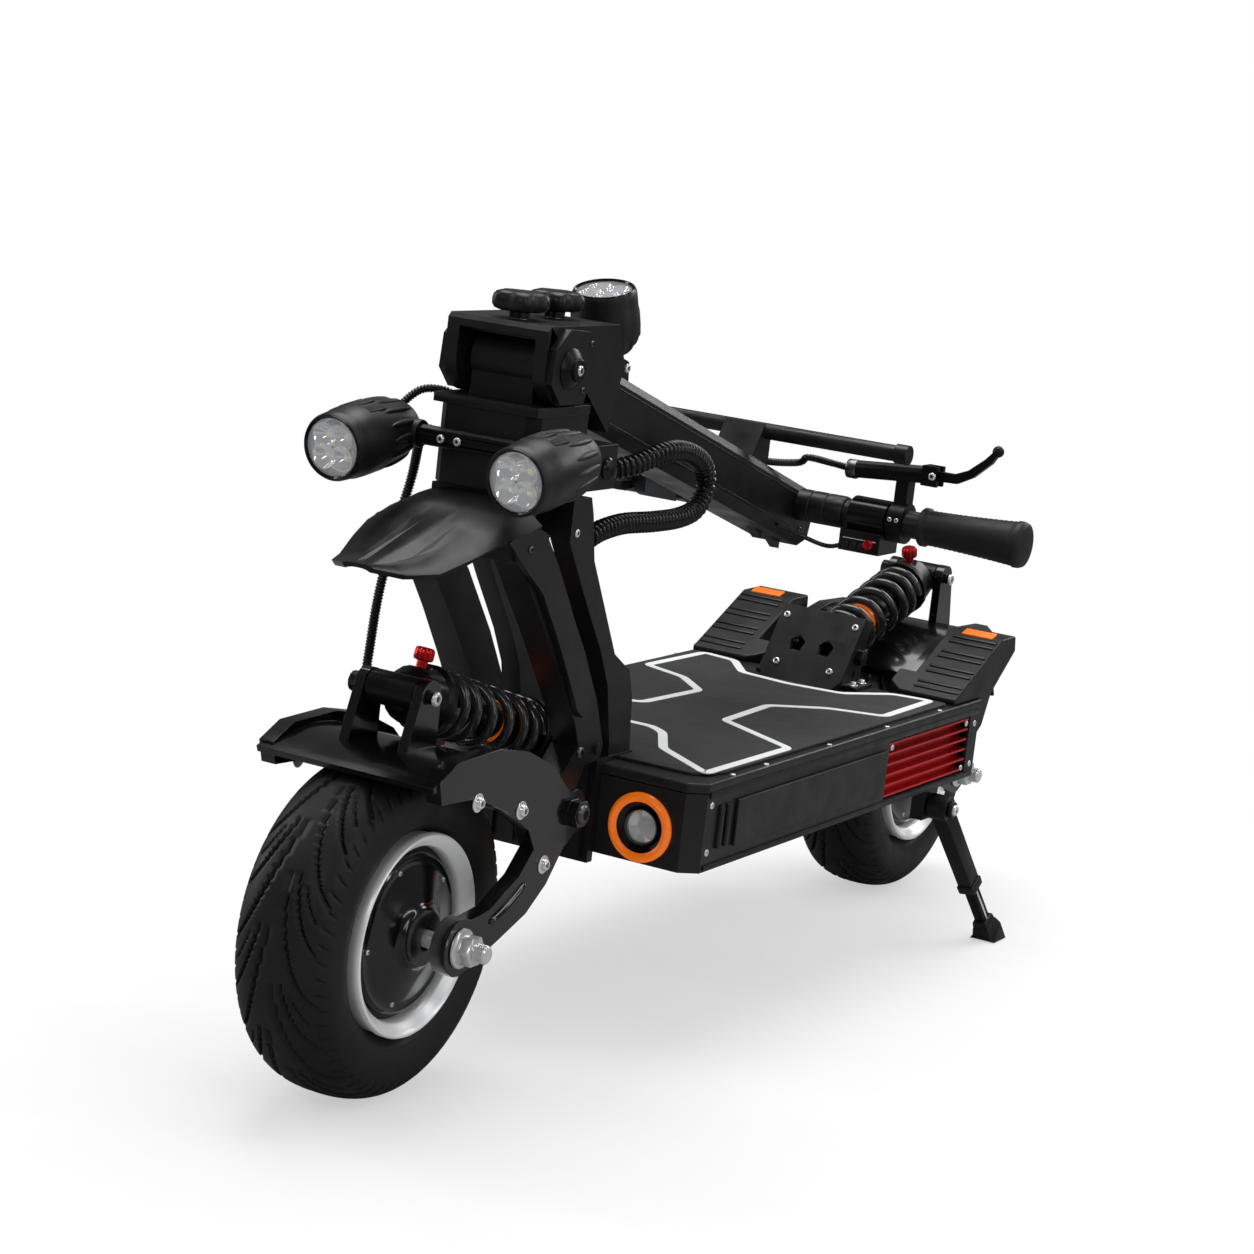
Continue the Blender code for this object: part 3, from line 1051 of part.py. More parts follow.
    # Display housing and thumb throttle on the right
    body = cylinder(-0.1250, -0.0900, y, z, BAR_RADIUS + 0.0055, PLASTIC, 18)
    screen = box((-0.1260, y - 0.0320, z - 0.0120), (-0.0850, y - BAR_RADIUS + 0.001,
                                                      z + 0.0230), PLASTIC)
    join(body, screen)
    hole = cylinder(-0.14, -0.08, y, z, BAR_RADIUS + GAP, PLASTIC, 18)
    cut(body, hole)
    finish(body, "display_unit", FOLD_POINT, 35)
    turn = cylinder(-0.1590, -0.1458, y, z, BAR_RADIUS + 0.0050, PLASTIC, 18)
    thumb = box((-0.1570, y - 0.0380, z - 0.0130), (-0.1468, y - 0.0140, z - 0.0040), PLASTIC)
    join(turn, thumb)
    hole = cylinder(-0.17, -0.13, y, z, BAR_RADIUS + RUNNING, PLASTIC, 18)
    cut(turn, hole)
    finish(turn, "throttle", BAR_CENTRE, 35)


def make_stem_lamp_and_knobs():
    """Third lamp on the stem and the two lobed clamping knobs."""
    mount = on_stem(LAMP_MOUNT_ALONG, LAMP_MOUNT_ABOVE)
    aim = Vector((0, -0.28, 0.96)).normalized()
    lamp = make_lamp(mount + aim * 0.0680, aim, LAMP_RADIUS, 0.0560)
    stalk = rod(mount - aim * 0.001, mount + aim * 0.0140, 0.0090, PLASTIC, 12)
    barrel = cylinder(-0.0120, 0.0120, mount.y, mount.z, 0.0080, PLASTIC, 18)
    join(lamp, stalk, barrel)
    hole = cylinder(-0.02, 0.02, mount.y, mount.z, LAMP_PIN_RADIUS + RUNNING,
                    PLASTIC, 12)
    cut(lamp, hole)
    finish(lamp, "stem_lamp", mount, 35)

    top = FOLD_Z + 0.0340
    for name, knob_y in (("clamp_knob_a", FOLD_Y + 0.0000), ("clamp_knob_b",
                                                             FOLD_Y + 0.0560)):
        outline = []
        for k in range(30):
            angle = 2 * math.pi * k / 30
            radius = KNOB_HALF_WIDTH * (0.90 + 0.10 * math.cos(5 * angle))
            outline.append((radius * math.cos(angle), knob_y + radius * math.sin(angle)))
        inner = [(x * 0.82, knob_y + (y - knob_y) * 0.82) for x, y in outline]
        loops = []
        for points, height in ((inner, 0.0060), (outline, 0.0100), (outline, 0.0190),
                               (inner, CLAMP_KNOB_HEIGHT)):
            loops.append([Vector((x, y, top + height)) for x, y in points])
        knob = loft(loops, PLASTIC)
        neck = rod((0, knob_y, top + GAP), (0, knob_y, top + 0.0080), 0.0090, PLASTIC, 18)
        join(knob, neck)
        finish(knob, name, (0, knob_y, top), 40)


def make_hoses():
    """Main hose from the cable outlet to the neck, and the front motor's loom."""
    main = [(0.0300, -0.2442, 0.5000), (0.0312, -0.2360, 0.5003), (0.0420, -0.2150, 0.5060),
            (0.0500, -0.1780, 0.5160), (0.0500, -0.1400, 0.5140), (0.0500, -0.1080, 0.5020),
            (0.0500, -0.0960, 0.4820), (0.0500, -0.1100, 0.4620), (0.0500, -0.1400, 0.4555),
            (0.0490, -0.1850, 0.4550), (0.0470, -0.2350, 0.4565), (0.0455, -0.2700, 0.4530),
            (0.0445, -0.2880, 0.4480)]
    hose = tube_path(smooth_route(main, 3), 0.0092, RUBBER, 8)
    finish(hose, "main_hose", (0, STEER_Y, 0.5), 60)
    loom_route = [(-0.0506, -0.3700, 0.5200), (-0.0700, -0.3720, 0.5260),
                  (-0.0880, -0.3560, 0.5150), (-0.0990, -0.3460, 0.4800),
                  (-0.1010, -0.3620, 0.4300), (-0.1010, -0.3760, 0.3800),
                  (-0.1010, -0.3820, 0.3300), (-0.0990, -0.3900, 0.2920),
                  (-0.0960, -0.4050, 0.2700), (-0.0930, -0.4150, 0.2560)]
    loom = tube_path(smooth_route(loom_route, 3), 0.0042, RUBBER, 6)
    finish(loom, "front_loom", (0, STEER_Y, 0.5), 60)


# ---------------------------------------------------------------------- build
for old in list(bpy.data.objects):
    bpy.data.objects.remove(old)

for wheel_end, shell_angle in ((FRONT, 14), (REAR, 42)):
    stator_r, stator_x = make_wheel(wheel_end)
    make_axle(wheel_end, stator_r, stator_x)
    make_caliper(wheel_end)
    make_swingarm(wheel_end, shell_angle)
    make_shock(wheel_end)
make_deck()
make_neck()
make_rear_mounts()
make_kickstand()
make_fork()
make_fork_fender()
make_clamp_block()
make_front_lamps()
make_hinge_head()
make_stem()
make_handlebar()
make_stem_lamp_and_knobs()
make_hoses()
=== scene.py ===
"""Looks of the folding electric kick scooter: finishes, fine shapes, trim, light and camera."""
import json
import math

import bmesh
import bpy
from mathutils import Matrix, Vector


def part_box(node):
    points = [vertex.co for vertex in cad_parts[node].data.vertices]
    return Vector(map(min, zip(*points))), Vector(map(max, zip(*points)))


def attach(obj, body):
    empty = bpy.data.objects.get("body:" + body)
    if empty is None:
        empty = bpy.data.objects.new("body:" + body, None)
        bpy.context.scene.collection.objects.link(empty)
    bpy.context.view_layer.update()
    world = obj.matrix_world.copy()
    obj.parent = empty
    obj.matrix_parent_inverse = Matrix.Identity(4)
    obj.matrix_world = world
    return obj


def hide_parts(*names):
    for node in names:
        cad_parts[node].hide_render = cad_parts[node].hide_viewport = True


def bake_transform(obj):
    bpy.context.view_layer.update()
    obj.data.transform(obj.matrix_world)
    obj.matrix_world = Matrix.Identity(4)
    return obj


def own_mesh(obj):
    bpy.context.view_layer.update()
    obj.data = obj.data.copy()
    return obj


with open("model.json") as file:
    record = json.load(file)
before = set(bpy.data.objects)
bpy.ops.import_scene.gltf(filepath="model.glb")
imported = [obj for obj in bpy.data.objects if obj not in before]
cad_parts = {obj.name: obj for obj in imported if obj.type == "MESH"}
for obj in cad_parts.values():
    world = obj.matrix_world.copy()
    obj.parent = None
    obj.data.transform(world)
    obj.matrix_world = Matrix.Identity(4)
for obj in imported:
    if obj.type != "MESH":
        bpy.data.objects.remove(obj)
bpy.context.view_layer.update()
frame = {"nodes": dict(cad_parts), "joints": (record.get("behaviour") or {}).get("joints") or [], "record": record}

NODES = frame["nodes"]
JOINTS = {joint["name"]: joint for joint in frame["joints"]}
BODY_OF = {node: body for body, nodes in frame["record"]["behaviour"]["bodies"].items()
           for node in nodes}
X, Y, Z = Vector((1, 0, 0)), Vector((0, 1, 0)), Vector((0, 0, 1))


def pivot(joint):
    """A hinge's place, from the record."""
    return Vector(JOINTS[joint]["pos_m"])


# ------------------------------------------------------------------- camera
# A long lens, low and in front of the scooter's left side, rolled a little.
CAMERA_PLACE = Vector((1.303, -2.533, 0.8396))
CAMERA_TURN, CAMERA_RISE, CAMERA_ROLL = (math.radians(a) for a in (28.37, 10.21, 6.487))
CAMERA_LENS_MM = 89.08

back = Vector((math.sin(CAMERA_TURN) * math.cos(CAMERA_RISE),
               -math.cos(CAMERA_TURN) * math.cos(CAMERA_RISE), math.sin(CAMERA_RISE)))
level = Vector((math.cos(CAMERA_TURN), math.sin(CAMERA_TURN), 0))
upright = back.cross(level)
right = level * math.cos(CAMERA_ROLL) + upright * math.sin(CAMERA_ROLL)
above = upright * math.cos(CAMERA_ROLL) - level * math.sin(CAMERA_ROLL)
view = Matrix((right, above, back)).transposed().to_4x4()
view.translation = CAMERA_PLACE
camera = bpy.data.objects.new("camera", bpy.data.cameras.new("camera"))
camera.data.lens = CAMERA_LENS_MM
camera.data.sensor_width = 36.0
camera.matrix_world = view
bpy.context.scene.collection.objects.link(camera)
bpy.context.scene.camera = camera
bpy.context.scene.view_settings.view_transform = "Standard"


# ---------------------------------------------------------- light and floor
# One broad soft box overhead, two long side boxes for edges, a pale floor.
def soft_box(name, place, target, width, height, power):
    data = bpy.data.lights.new(name, "AREA")
    data.shape = "RECTANGLE"
    data.size, data.size_y = width, height
    data.energy = power
    lamp = bpy.data.objects.new(name, data)
    lamp.location = place
    lamp.rotation_euler = (Vector(target) - Vector(place)).to_track_quat("-Z", "Y").to_euler()
    bpy.context.scene.collection.objects.link(lamp)


soft_box("overhead", (-0.3, 0.4, 3.0), (0, 0, 0.2), 2.2, 2.2, 72)
soft_box("left_front", (2.9, -1.2, 1.9), (0, -0.1, 0.3), 0.35, 2.4, 13)
soft_box("right_rim", (-2.6, -0.9, 1.5), (0, 0, 0.4), 0.5, 2.6, 26)
soft_box("left_strip", (2.2, 0.6, 1.5), (0, 0.1, 0.3), 0.12, 2.6, 9)
soft_box("front_strip", (0.5, -2.9, 1.9), (0, -0.3, 0.4), 1.6, 0.12, 8)
soft_box("rear_rim", (0.8, 3.0, 1.9), (0, 0, 0.4), 2.6, 0.8, 30)


def world_light():
    """An even surround: white to the camera, dark where glossy faces mirror it."""
    world = bpy.data.worlds.new("studio")
    world.use_nodes = True
    tree = world.node_tree
    tree.nodes.clear()
    path = tree.nodes.new("ShaderNodeLightPath")
    seen = tree.nodes.new("ShaderNodeBackground")
    seen.inputs["Color"].default_value = (1, 1, 1, 1)
    seen.inputs["Strength"].default_value = 1.0
    unseen = tree.nodes.new("ShaderNodeBackground")
    unseen.inputs["Color"].default_value = (1, 1, 1, 1)
    unseen.inputs["Strength"].default_value = 0.42
    mirrored = tree.nodes.new("ShaderNodeBackground")
    mirrored.inputs["Color"].default_value = (1, 1, 1, 1)
    mirrored.inputs["Strength"].default_value = 0.11
    mix = tree.nodes.new("ShaderNodeMixShader")
    soft = tree.nodes.new("ShaderNodeMixShader")
    out = tree.nodes.new("ShaderNodeOutputWorld")
    tree.links.new(path.outputs["Is Glossy Ray"], soft.inputs["Fac"])
    tree.links.new(unseen.outputs[0], soft.inputs[1])
    tree.links.new(mirrored.outputs[0], soft.inputs[2])
    tree.links.new(path.outputs["Is Camera Ray"], mix.inputs["Fac"])
    tree.links.new(soft.outputs[0], mix.inputs[1])
    tree.links.new(seen.outputs[0], mix.inputs[2])
    tree.links.new(mix.outputs[0], out.inputs["Surface"])
    bpy.context.scene.world = world


world_light()


# ---------------------------------------------------------------- materials
# Every finish is procedural, in object coordinates: a colour with soft
# mottling, a roughness that wanders and a fine bump at the finish's scale.
def finish_of(name, colour, roughness, metallic=0.0, grain=900.0, bump=0.03, mottle=0.18,
              smudge=0.08, coat=0.0, sheen=0.0, emission=0.0, stretch=(1, 1, 1), dust=0.0):
    made = bpy.data.materials.new(name)
    made.use_nodes = True
    made.diffuse_color = (*colour, 1.0)
    tree = made.node_tree
    shader = tree.nodes["Principled BSDF"]
    shader.inputs["Metallic"].default_value = metallic
    shader.inputs["Specular IOR Level"].default_value = 0.38
    shader.inputs["Coat Weight"].default_value = coat
    shader.inputs["Coat Roughness"].default_value = 0.08
    shader.inputs["Sheen Weight"].default_value = sheen
    shader.inputs["Sheen Roughness"].default_value = 0.5
    if emission:
        shader.inputs["Emission Color"].default_value = (*colour, 1.0)
        shader.inputs["Emission Strength"].default_value = emission
    place = tree.nodes.new("ShaderNodeTexCoord")
    scale = tree.nodes.new("ShaderNodeMapping")
    scale.inputs["Scale"].default_value = stretch
    tree.links.new(place.outputs["Object"], scale.inputs["Vector"])

    def noise(size, detail=3.0):
        node = tree.nodes.new("ShaderNodeTexNoise")
        node.inputs["Scale"].default_value = size
        node.inputs["Detail"].default_value = detail
        tree.links.new(scale.outputs[0], node.inputs["Vector"])
        return node.outputs["Fac"]

    def spread(source, low, high):
        node = tree.nodes.new("ShaderNodeMapRange")
        node.inputs["From Min"].default_value = 0.3
        node.inputs["From Max"].default_value = 0.7
        node.inputs["To Min"].default_value = low
        node.inputs["To Max"].default_value = high
        tree.links.new(source, node.inputs["Value"])
        return node.outputs[0]

    tone = tree.nodes.new("ShaderNodeMix")
    tone.data_type = "RGBA"
    dark = [c * (1 - mottle) for c in colour]
    light = [min(1.0, c * (1 + mottle) + dust) for c in colour]
    tone.inputs["A"].default_value = (*dark, 1)
    tone.inputs["B"].default_value = (*light, 1)
    tree.links.new(spread(noise(14.0), 0.0, 1.0), tone.inputs["Factor"])
    tree.links.new(tone.outputs["Result"], shader.inputs["Base Color"])
    wander = spread(noise(38.0, 5.0), max(roughness - smudge, 0.02), min(roughness + smudge, 1.0))
    tree.links.new(wander, shader.inputs["Roughness"])
    fine = tree.nodes.new("ShaderNodeBump")
    fine.inputs["Strength"].default_value = 1.0
    fine.inputs["Distance"].default_value = bump * 0.001
    tree.links.new(noise(grain, 2.0), fine.inputs["Height"])
    tree.links.new(fine.outputs["Normal"], shader.inputs["Normal"])
    return made


POWDER = finish_of("powder_coat", (0.0052, 0.0052, 0.0056), 0.38, grain=1300, bump=0.05)
DECK_PAINT = finish_of("deck_coat", (0.0100, 0.0100, 0.0106), 0.42, grain=1500, bump=0.05)
ARM_PAINT = finish_of("arm_gloss", (0.0034, 0.0034, 0.0037), 0.19, grain=500, bump=0.015,
                      smudge=0.05, coat=0.5)
HUB_PAINT = finish_of("hub_gloss", (0.0030, 0.0030, 0.0033), 0.15, grain=300, bump=0.010,
                      smudge=0.04, coat=0.6)
MOULDED = finish_of("moulded_plastic", (0.0062, 0.0062, 0.0066), 0.42, grain=2200, bump=0.05)
BEAK_PLASTIC = finish_of("beak_plastic", (0.0058, 0.0058, 0.0062), 0.36, grain=1800, bump=0.03)
GLOSS_PLASTIC = finish_of("gloss_plastic", (0.0040, 0.0040, 0.0042), 0.15, grain=400, bump=0.008,
                          smudge=0.04)
TYRE_RUBBER = finish_of("tyre_rubber", (0.0052, 0.0050, 0.0050), 0.50, grain=1100, bump=0.12,
                        mottle=0.25, dust=0.002)
MAT_RUBBER = finish_of("mat_rubber", (0.0215, 0.0215, 0.0215), 0.70, grain=2400, bump=0.12,
                       mottle=0.14)
GRIP_RUBBER = finish_of("grip_rubber", (0.0066, 0.0066, 0.0066), 0.52, grain=1500, bump=0.08)
HOSE_PLASTIC = finish_of("hose_plastic", (0.0050, 0.0050, 0.0050), 0.25, grain=700, bump=0.02)
SILVER = finish_of("silver_aluminium", (0.82, 0.83, 0.84), 0.20, 0.65, grain=240, bump=0.010,
                   mottle=0.05, smudge=0.06)
RIM_SILVER = finish_of("rim_silver", (0.92, 0.93, 0.94), 0.34, 0.45, grain=300, bump=0.010,
                       mottle=0.04, smudge=0.05)
STEEL = finish_of("zinc_steel", (0.70, 0.70, 0.71), 0.24, 0.65, grain=400, bump=0.02,
                  mottle=0.10)
DARK_STEEL = finish_of("dark_steel", (0.16, 0.16, 0.165), 0.32, 1.0, grain=500, bump=0.02)
CHROME = finish_of("chrome", (0.92, 0.93, 0.94), 0.05, 0.90, grain=90, bump=0.006,
                   mottle=0.03, smudge=0.02)
SPRING_COAT = finish_of("spring_coat", (0.020, 0.020, 0.022), 0.20, grain=500, bump=0.015,
                        smudge=0.05, coat=0.6)
BLACK_ANODISED = finish_of("black_anodised", (0.0090, 0.0090, 0.0100), 0.32, 0.6, grain=900,
                           bump=0.02)
RED_ANODISED = finish_of("red_anodised", (0.50, 0.010, 0.013), 0.26, 0.75, grain=900,
                         bump=0.02, stretch=(1, 0.05, 1), mottle=0.25)
# emission: this orange plastic glows as painted light, though it is no lamp
GLOWING_ORANGE_PLASTIC = finish_of("orange_plastic_painted_glow", (0.80, 0.155, 0.008), 0.24, grain=300, bump=0.01,
                           mottle=0.10, emission=0.25)
# emission: the reflector glows as painted light, though it is no lamp
GLOWING_REFLECTOR = finish_of("orange_reflector_painted_glow", (0.85, 0.17, 0.008), 0.22, grain=5200, bump=0.20,
                      mottle=0.12, emission=0.18)
WHITE_LINE = finish_of("white_line", (0.74, 0.76, 0.76), 0.52, grain=1600, bump=0.05,
                       mottle=0.05)
LED_YELLOW = finish_of("led_chip", (0.80, 0.72, 0.42), 0.35, grain=900, bump=0.02)
SCREEN = finish_of("screen_glass", (0.006, 0.008, 0.011), 0.07, grain=60, bump=0.002,
                   smudge=0.02, coat=1.0)
# near black for screw sockets and lamp slots: painted shade in hollows
PAINTED_HOLE_SHADE = finish_of("painted_socket_shade", (0.003, 0.003, 0.003), 0.7, grain=900, bump=0.02)


def clear_lens(name, tint, share):
    """A thin clear cover: mostly open, with a fresnel reflection and a few swirl marks."""
    made = bpy.data.materials.new(name)
    made.use_nodes = True
    tree = made.node_tree
    shader = tree.nodes["Principled BSDF"]
    shader.inputs["Base Color"].default_value = (*tint, 1)
    shader.inputs["Roughness"].default_value = 0.03
    shader.inputs["Coat Weight"].default_value = 1.0
    place = tree.nodes.new("ShaderNodeTexCoord")
    noise = tree.nodes.new("ShaderNodeTexNoise")
    noise.inputs["Scale"].default_value = 60.0
    tree.links.new(place.outputs["Object"], noise.inputs["Vector"])
    alpha = tree.nodes.new("ShaderNodeMapRange")
    alpha.inputs["To Min"].default_value = share * 0.7
    alpha.inputs["To Max"].default_value = share * 1.3
    tree.links.new(noise.outputs["Fac"], alpha.inputs["Value"])
    tree.links.new(alpha.outputs[0], shader.inputs["Alpha"])
    return made


LENS = clear_lens("clear_lens", (0.85, 0.87, 0.90), 0.16)


def floor():
    """Plain pale floor that fades to an even white away from the object."""
    bpy.ops.mesh.primitive_plane_add(size=60, location=(0, 0, -0.0008))
    plane = bpy.context.object
    plane.name = "floor"
    made = finish_of("pale_floor", (0.86, 0.86, 0.86), 0.65, grain=40, bump=0.05, mottle=0.01)
    tree = made.node_tree
    place = tree.nodes.new("ShaderNodeTexCoord")
    reach = tree.nodes.new("ShaderNodeVectorMath")
    reach.operation = "LENGTH"
    fade = tree.nodes.new("ShaderNodeMapRange")
    fade.interpolation_type = "SMOOTHSTEP"
    fade.inputs["From Min"].default_value = 0.45
    fade.inputs["From Max"].default_value = 1.5
    fade.inputs["To Min"].default_value = 0.52
    glow = tree.nodes.new("ShaderNodeEmission")
    path = tree.nodes.new("ShaderNodeLightPath")
    seen = tree.nodes.new("ShaderNodeMath")
    seen.operation = "MULTIPLY"
    mix = tree.nodes.new("ShaderNodeMixShader")
    tree.links.new(place.outputs["Object"], reach.inputs[0])
    tree.links.new(reach.outputs["Value"], fade.inputs["Value"])
    tree.links.new(fade.outputs[0], seen.inputs[0])
    tree.links.new(path.outputs["Is Camera Ray"], seen.inputs[1])
    tree.links.new(seen.outputs[0], mix.inputs["Fac"])
    tree.links.new(tree.nodes["Principled BSDF"].outputs[0], mix.inputs[1])
    tree.links.new(glow.outputs[0], mix.inputs[2])
    dark = tree.nodes.new("ShaderNodeBsdfDiffuse")
    dark.inputs["Color"].default_value = (0.24, 0.24, 0.24, 1)
    last = tree.nodes.new("ShaderNodeMixShader")
    tree.links.new(path.outputs["Is Glossy Ray"], last.inputs["Fac"])
    tree.links.new(mix.outputs[0], last.inputs[1])
    tree.links.new(dark.outputs[0], last.inputs[2])
    tree.links.new(last.outputs[0], tree.nodes["Material Output"].inputs["Surface"])
    plane.data.materials.append(made)


floor()


# ------------------------------------------------------------- mesh helpers
# Each helper makes one mesh object in place, gives it a finish, and lets it
# ride on a body, standing for CAD nodes where it replaces them.
def place_piece(obj, look, body, stands_for=()):
    obj.data.materials.clear()
    obj.data.materials.append(look)
    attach(obj, body)
    if stands_for:
        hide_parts(*stands_for)
    return obj


def from_bmesh(name, bm, smooth=35.0):
    bmesh.ops.recalc_face_normals(bm, faces=bm.faces)
    mesh = bpy.data.meshes.new(name)
    bm.to_mesh(mesh)
    bm.free()
    mesh.shade_smooth()
    mesh.set_sharp_from_angle(angle=math.radians(smooth))
    obj = bpy.data.objects.new(name, mesh)
    bpy.context.scene.collection.objects.link(obj)
    return obj


def soften(bm, width, segments=2, angle=28.0):
    """Round every edge sharper than the angle."""
    sharp = [e for e in bm.edges if e.is_manifold and e.calc_face_angle(0) > math.radians(angle)]
    bmesh.ops.bevel(bm, geom=sharp, offset=width, segments=segments, profile=0.5,
                    affect="EDGES", clamp_overlap=True)


def refine(node, look, width=0.0008, smooth=35.0):
    """The CAD node's own shape with its edges rounded."""
    bm = bmesh.new()
    bm.from_mesh(NODES[node].data)
    bmesh.ops.remove_doubles(bm, verts=bm.verts, dist=2e-6)
    bmesh.ops.dissolve_limit(bm, angle_limit=math.radians(0.6), verts=bm.verts, edges=bm.edges)
    soften(bm, width)
    obj = from_bmesh(f"{node}_fine", bm, smooth)
    weight = obj.modifiers.new("weighted", "WEIGHTED_NORMAL")
    weight.keep_sharp = True
    return place_piece(obj, look, BODY_OF[node], [node])


def side_vectors(direction):
    helper = X if abs(direction.x) < 0.9 else Y
    first = direction.cross(helper).normalized()
    return first, direction.cross(first).normalized()


def turn(name, profile, base, direction, look, body, steps=56, stands_for=(),
         wave=None, smooth=35.0):
    """Turn (radius, along) points about a line; wave(angle) scales the radius."""
    base, direction = Vector(base), Vector(direction).normalized()
    first, second = side_vectors(direction)
    bm = bmesh.new()
    rows = []
    for step in range(steps):
        angle = 2 * math.pi * step / steps
        spoke = first * math.cos(angle) + second * math.sin(angle)
        swell = wave(angle) if wave else 1.0
        rows.append([bm.verts.new(base + direction * along + spoke * (r * swell))
                     for r, along in profile])
    for row, after in zip(rows, rows[1:] + rows[:1]):
        for i in range(len(profile) - 1):
            bm.faces.new((row[i], row[i + 1], after[i + 1], after[i]))
        if profile[0][0] > 1e-6 and profile[-1][0] > 1e-6:
            bm.faces.new((row[-1], row[0], after[0], after[-1]))
    bmesh.ops.remove_doubles(bm, verts=bm.verts, dist=1e-7)
    bmesh.ops.dissolve_degenerate(bm, edges=bm.edges, dist=1e-7)
    obj = from_bmesh(name, bm, smooth)
    return place_piece(obj, look, body, stands_for)


def sweep(name, points, radii, look, body, sides=14, stands_for=(), smooth=60.0):
    """A round section carried along points, with a radius for each."""
    bm = bmesh.new()
    rows = []
    across = None
    for i, (centre, radius) in enumerate(zip(points, radii)):
        tangent = (points[min(i + 1, len(points) - 1)] - points[max(i - 1, 0)]).normalized()
        if across is None:
            across = side_vectors(tangent)[0]
        across = (across - tangent * across.dot(tangent)).normalized()
        other = tangent.cross(across)
        rows.append([bm.verts.new(centre + (across * math.cos(a) + other * math.sin(a)) * radius)
                     for a in (2 * math.pi * k / sides for k in range(sides))])
    for low, high in zip(rows, rows[1:]):
        for k in range(sides):
            bm.faces.new((low[k], low[(k + 1) % sides], high[(k + 1) % sides], high[k]))
    bm.faces.new(rows[0])
    bm.faces.new(rows[-1])
    obj = from_bmesh(name, bm, smooth)
    if body is None:
        obj.data.materials.append(look)
        if stands_for:
            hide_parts(*stands_for)
        return obj
    return place_piece(obj, look, body, stands_for)


def slab(name, outline, normal, up, origin, depth, look, body, bevel=0.0006,
         stands_for=(), smooth=35.0):
    """Extrude an outline given in (across, up) about origin along normal, edges rounded."""
    normal, up = Vector(normal).normalized(), Vector(up).normalized()
    across = up.cross(normal)
    bm = bmesh.new()
    flat = [origin + across * a + up * b for a, b in outline]
    low = [bm.verts.new(p) for p in flat]
    high = [bm.verts.new(p + normal * depth) for p in flat]
    bm.faces.new(low)
    bm.faces.new(high)
    for i in range(len(low)):
        j = (i + 1) % len(low)
        bm.faces.new((low[i], low[j], high[j], high[i]))
    bmesh.ops.recalc_face_normals(bm, faces=bm.faces)
    if bevel:
        soften(bm, bevel)
    obj = from_bmesh(name, bm, smooth)
    return place_piece(obj, look, body, stands_for)


def block(name, low, high, look, body, bevel=0.0006):
    """An upright rounded block between two corners."""
    low, high = Vector(low), Vector(high)
    outline = [(0, 0), (high.x - low.x, 0), (high.x - low.x, high.y - low.y),
               (0, high.y - low.y)]
    return slab(name, outline, Z, Y, low, high.z - low.z, look, body, bevel)


def smooth_route(points, steps):
    """A Catmull-Rom curve through given points."""
    points = [Vector(p) for p in points]
    ends = [points[0] * 2 - points[1]] + points + [points[-1] * 2 - points[-2]]
    route = []
    for a, b, c, d in zip(ends, ends[1:], ends[2:], ends[3:]):
        for step in range(steps):
            t = step / steps
            route.append(0.5 * (2 * b + (c - a) * t + (2 * a - 5 * b + 4 * c - d) * t * t
                                + (3 * b - a - 3 * c + d) * t ** 3))
    return route + [points[-1]]


def even_route(points, pitch):
    """The same route with points an even distance apart."""
    lengths = [0.0]
    for a, b in zip(points, points[1:]):
        lengths.append(lengths[-1] + (b - a).length)
    count = max(2, round(lengths[-1] / pitch))
    even, at = [], 0
    for k in range(count + 1):
        goal = lengths[-1] * k / count
        while at < len(points) - 2 and lengths[at + 1] < goal:
            at += 1
        share = (goal - lengths[at]) / max(lengths[at + 1] - lengths[at], 1e-9)
        even.append(points[at].lerp(points[at + 1], min(max(share, 0), 1)))
    return even


def screw(name, place, direction, radius, body, look=STEEL, washer=0.0, height=0.55):
    """Button-head screw with a hexagonal socket filled with painted shade, on an optional washer."""
    direction = Vector(direction).normalized()
    place = Vector(place)
    rise = radius * height
    base = 0.0
    if washer:
        turn(f"{name}_washer", [(0, 0), (washer * 0.94, 0), (washer, 0.0003), (washer, 0.0009),
                                (washer * 0.94, 0.0012), (0, 0.0012)],
             place, direction, look, body, 28)
        base = 0.0011
    head = [(0, base), (radius, base), (radius, base + rise * 0.35),
            (radius * 0.90, base + rise * 0.75), (radius * 0.68, base + rise),
            (radius * 0.50, base + rise), (radius * 0.46, base + rise * 0.45),
            (0, base + rise * 0.40)]
    turn(f"{name}_head", head, place, direction, look, body, 24)
    # a near-black hexagon fills the socket as painted shade
    turn(f"{name}_socket", [(0, base + rise * 0.42), (radius * 0.44, base + rise * 0.42),
                            (radius * 0.44, base + rise * 0.52), (0, base + rise * 0.52)],
         place, direction, PAINTED_HOLE_SHADE, body, 6)


def hex_nut(name, place, direction, radius, height, body, look=STEEL):
    """Six-sided nut with chamfered corners."""
    direction = Vector(direction).normalized()
    up = side_vectors(direction)[0]
    corner = [(radius * math.cos(math.pi * k / 3), radius * math.sin(math.pi * k / 3))
              for k in range(6)]
    slab(name, corner, direction, up, Vector(place), height, look, body,
         bevel=radius * 0.09)


# ------------------------------------------------------------------- wheels
# Fat road tyre with a directional V tread, silver rim edge, glossy domed motor
# cover, brake disc on the right side, and the axle's nuts outside the arms.
TYRE_R, TYRE_W, BEAD_R = 0.1408, 0.0894, 0.0838
TREAD_AROUND, TREAD_ACROSS = 800, 104
V_GROOVES, SIPES, SWEEP, GROOVE_DEPTH = 10, 60, 0.17, 0.0030


def tyre_section(share):
    """(radius, x, tread share) over the tyre from bead to bead; share runs 0..1."""
    angle = math.radians(-52 + 284 * share)
    c, s = math.cos(angle), math.sin(angle)
    middle, tall = (TYRE_R + BEAD_R) / 2 - 0.003, (TYRE_R - BEAD_R) / 2 + 0.003
    x = math.copysign(abs(c) ** 0.78, c) * TYRE_W / 2
    r = middle + math.copysign(abs(s) ** 0.80, s) * tall
    return max(r, BEAD_R), x


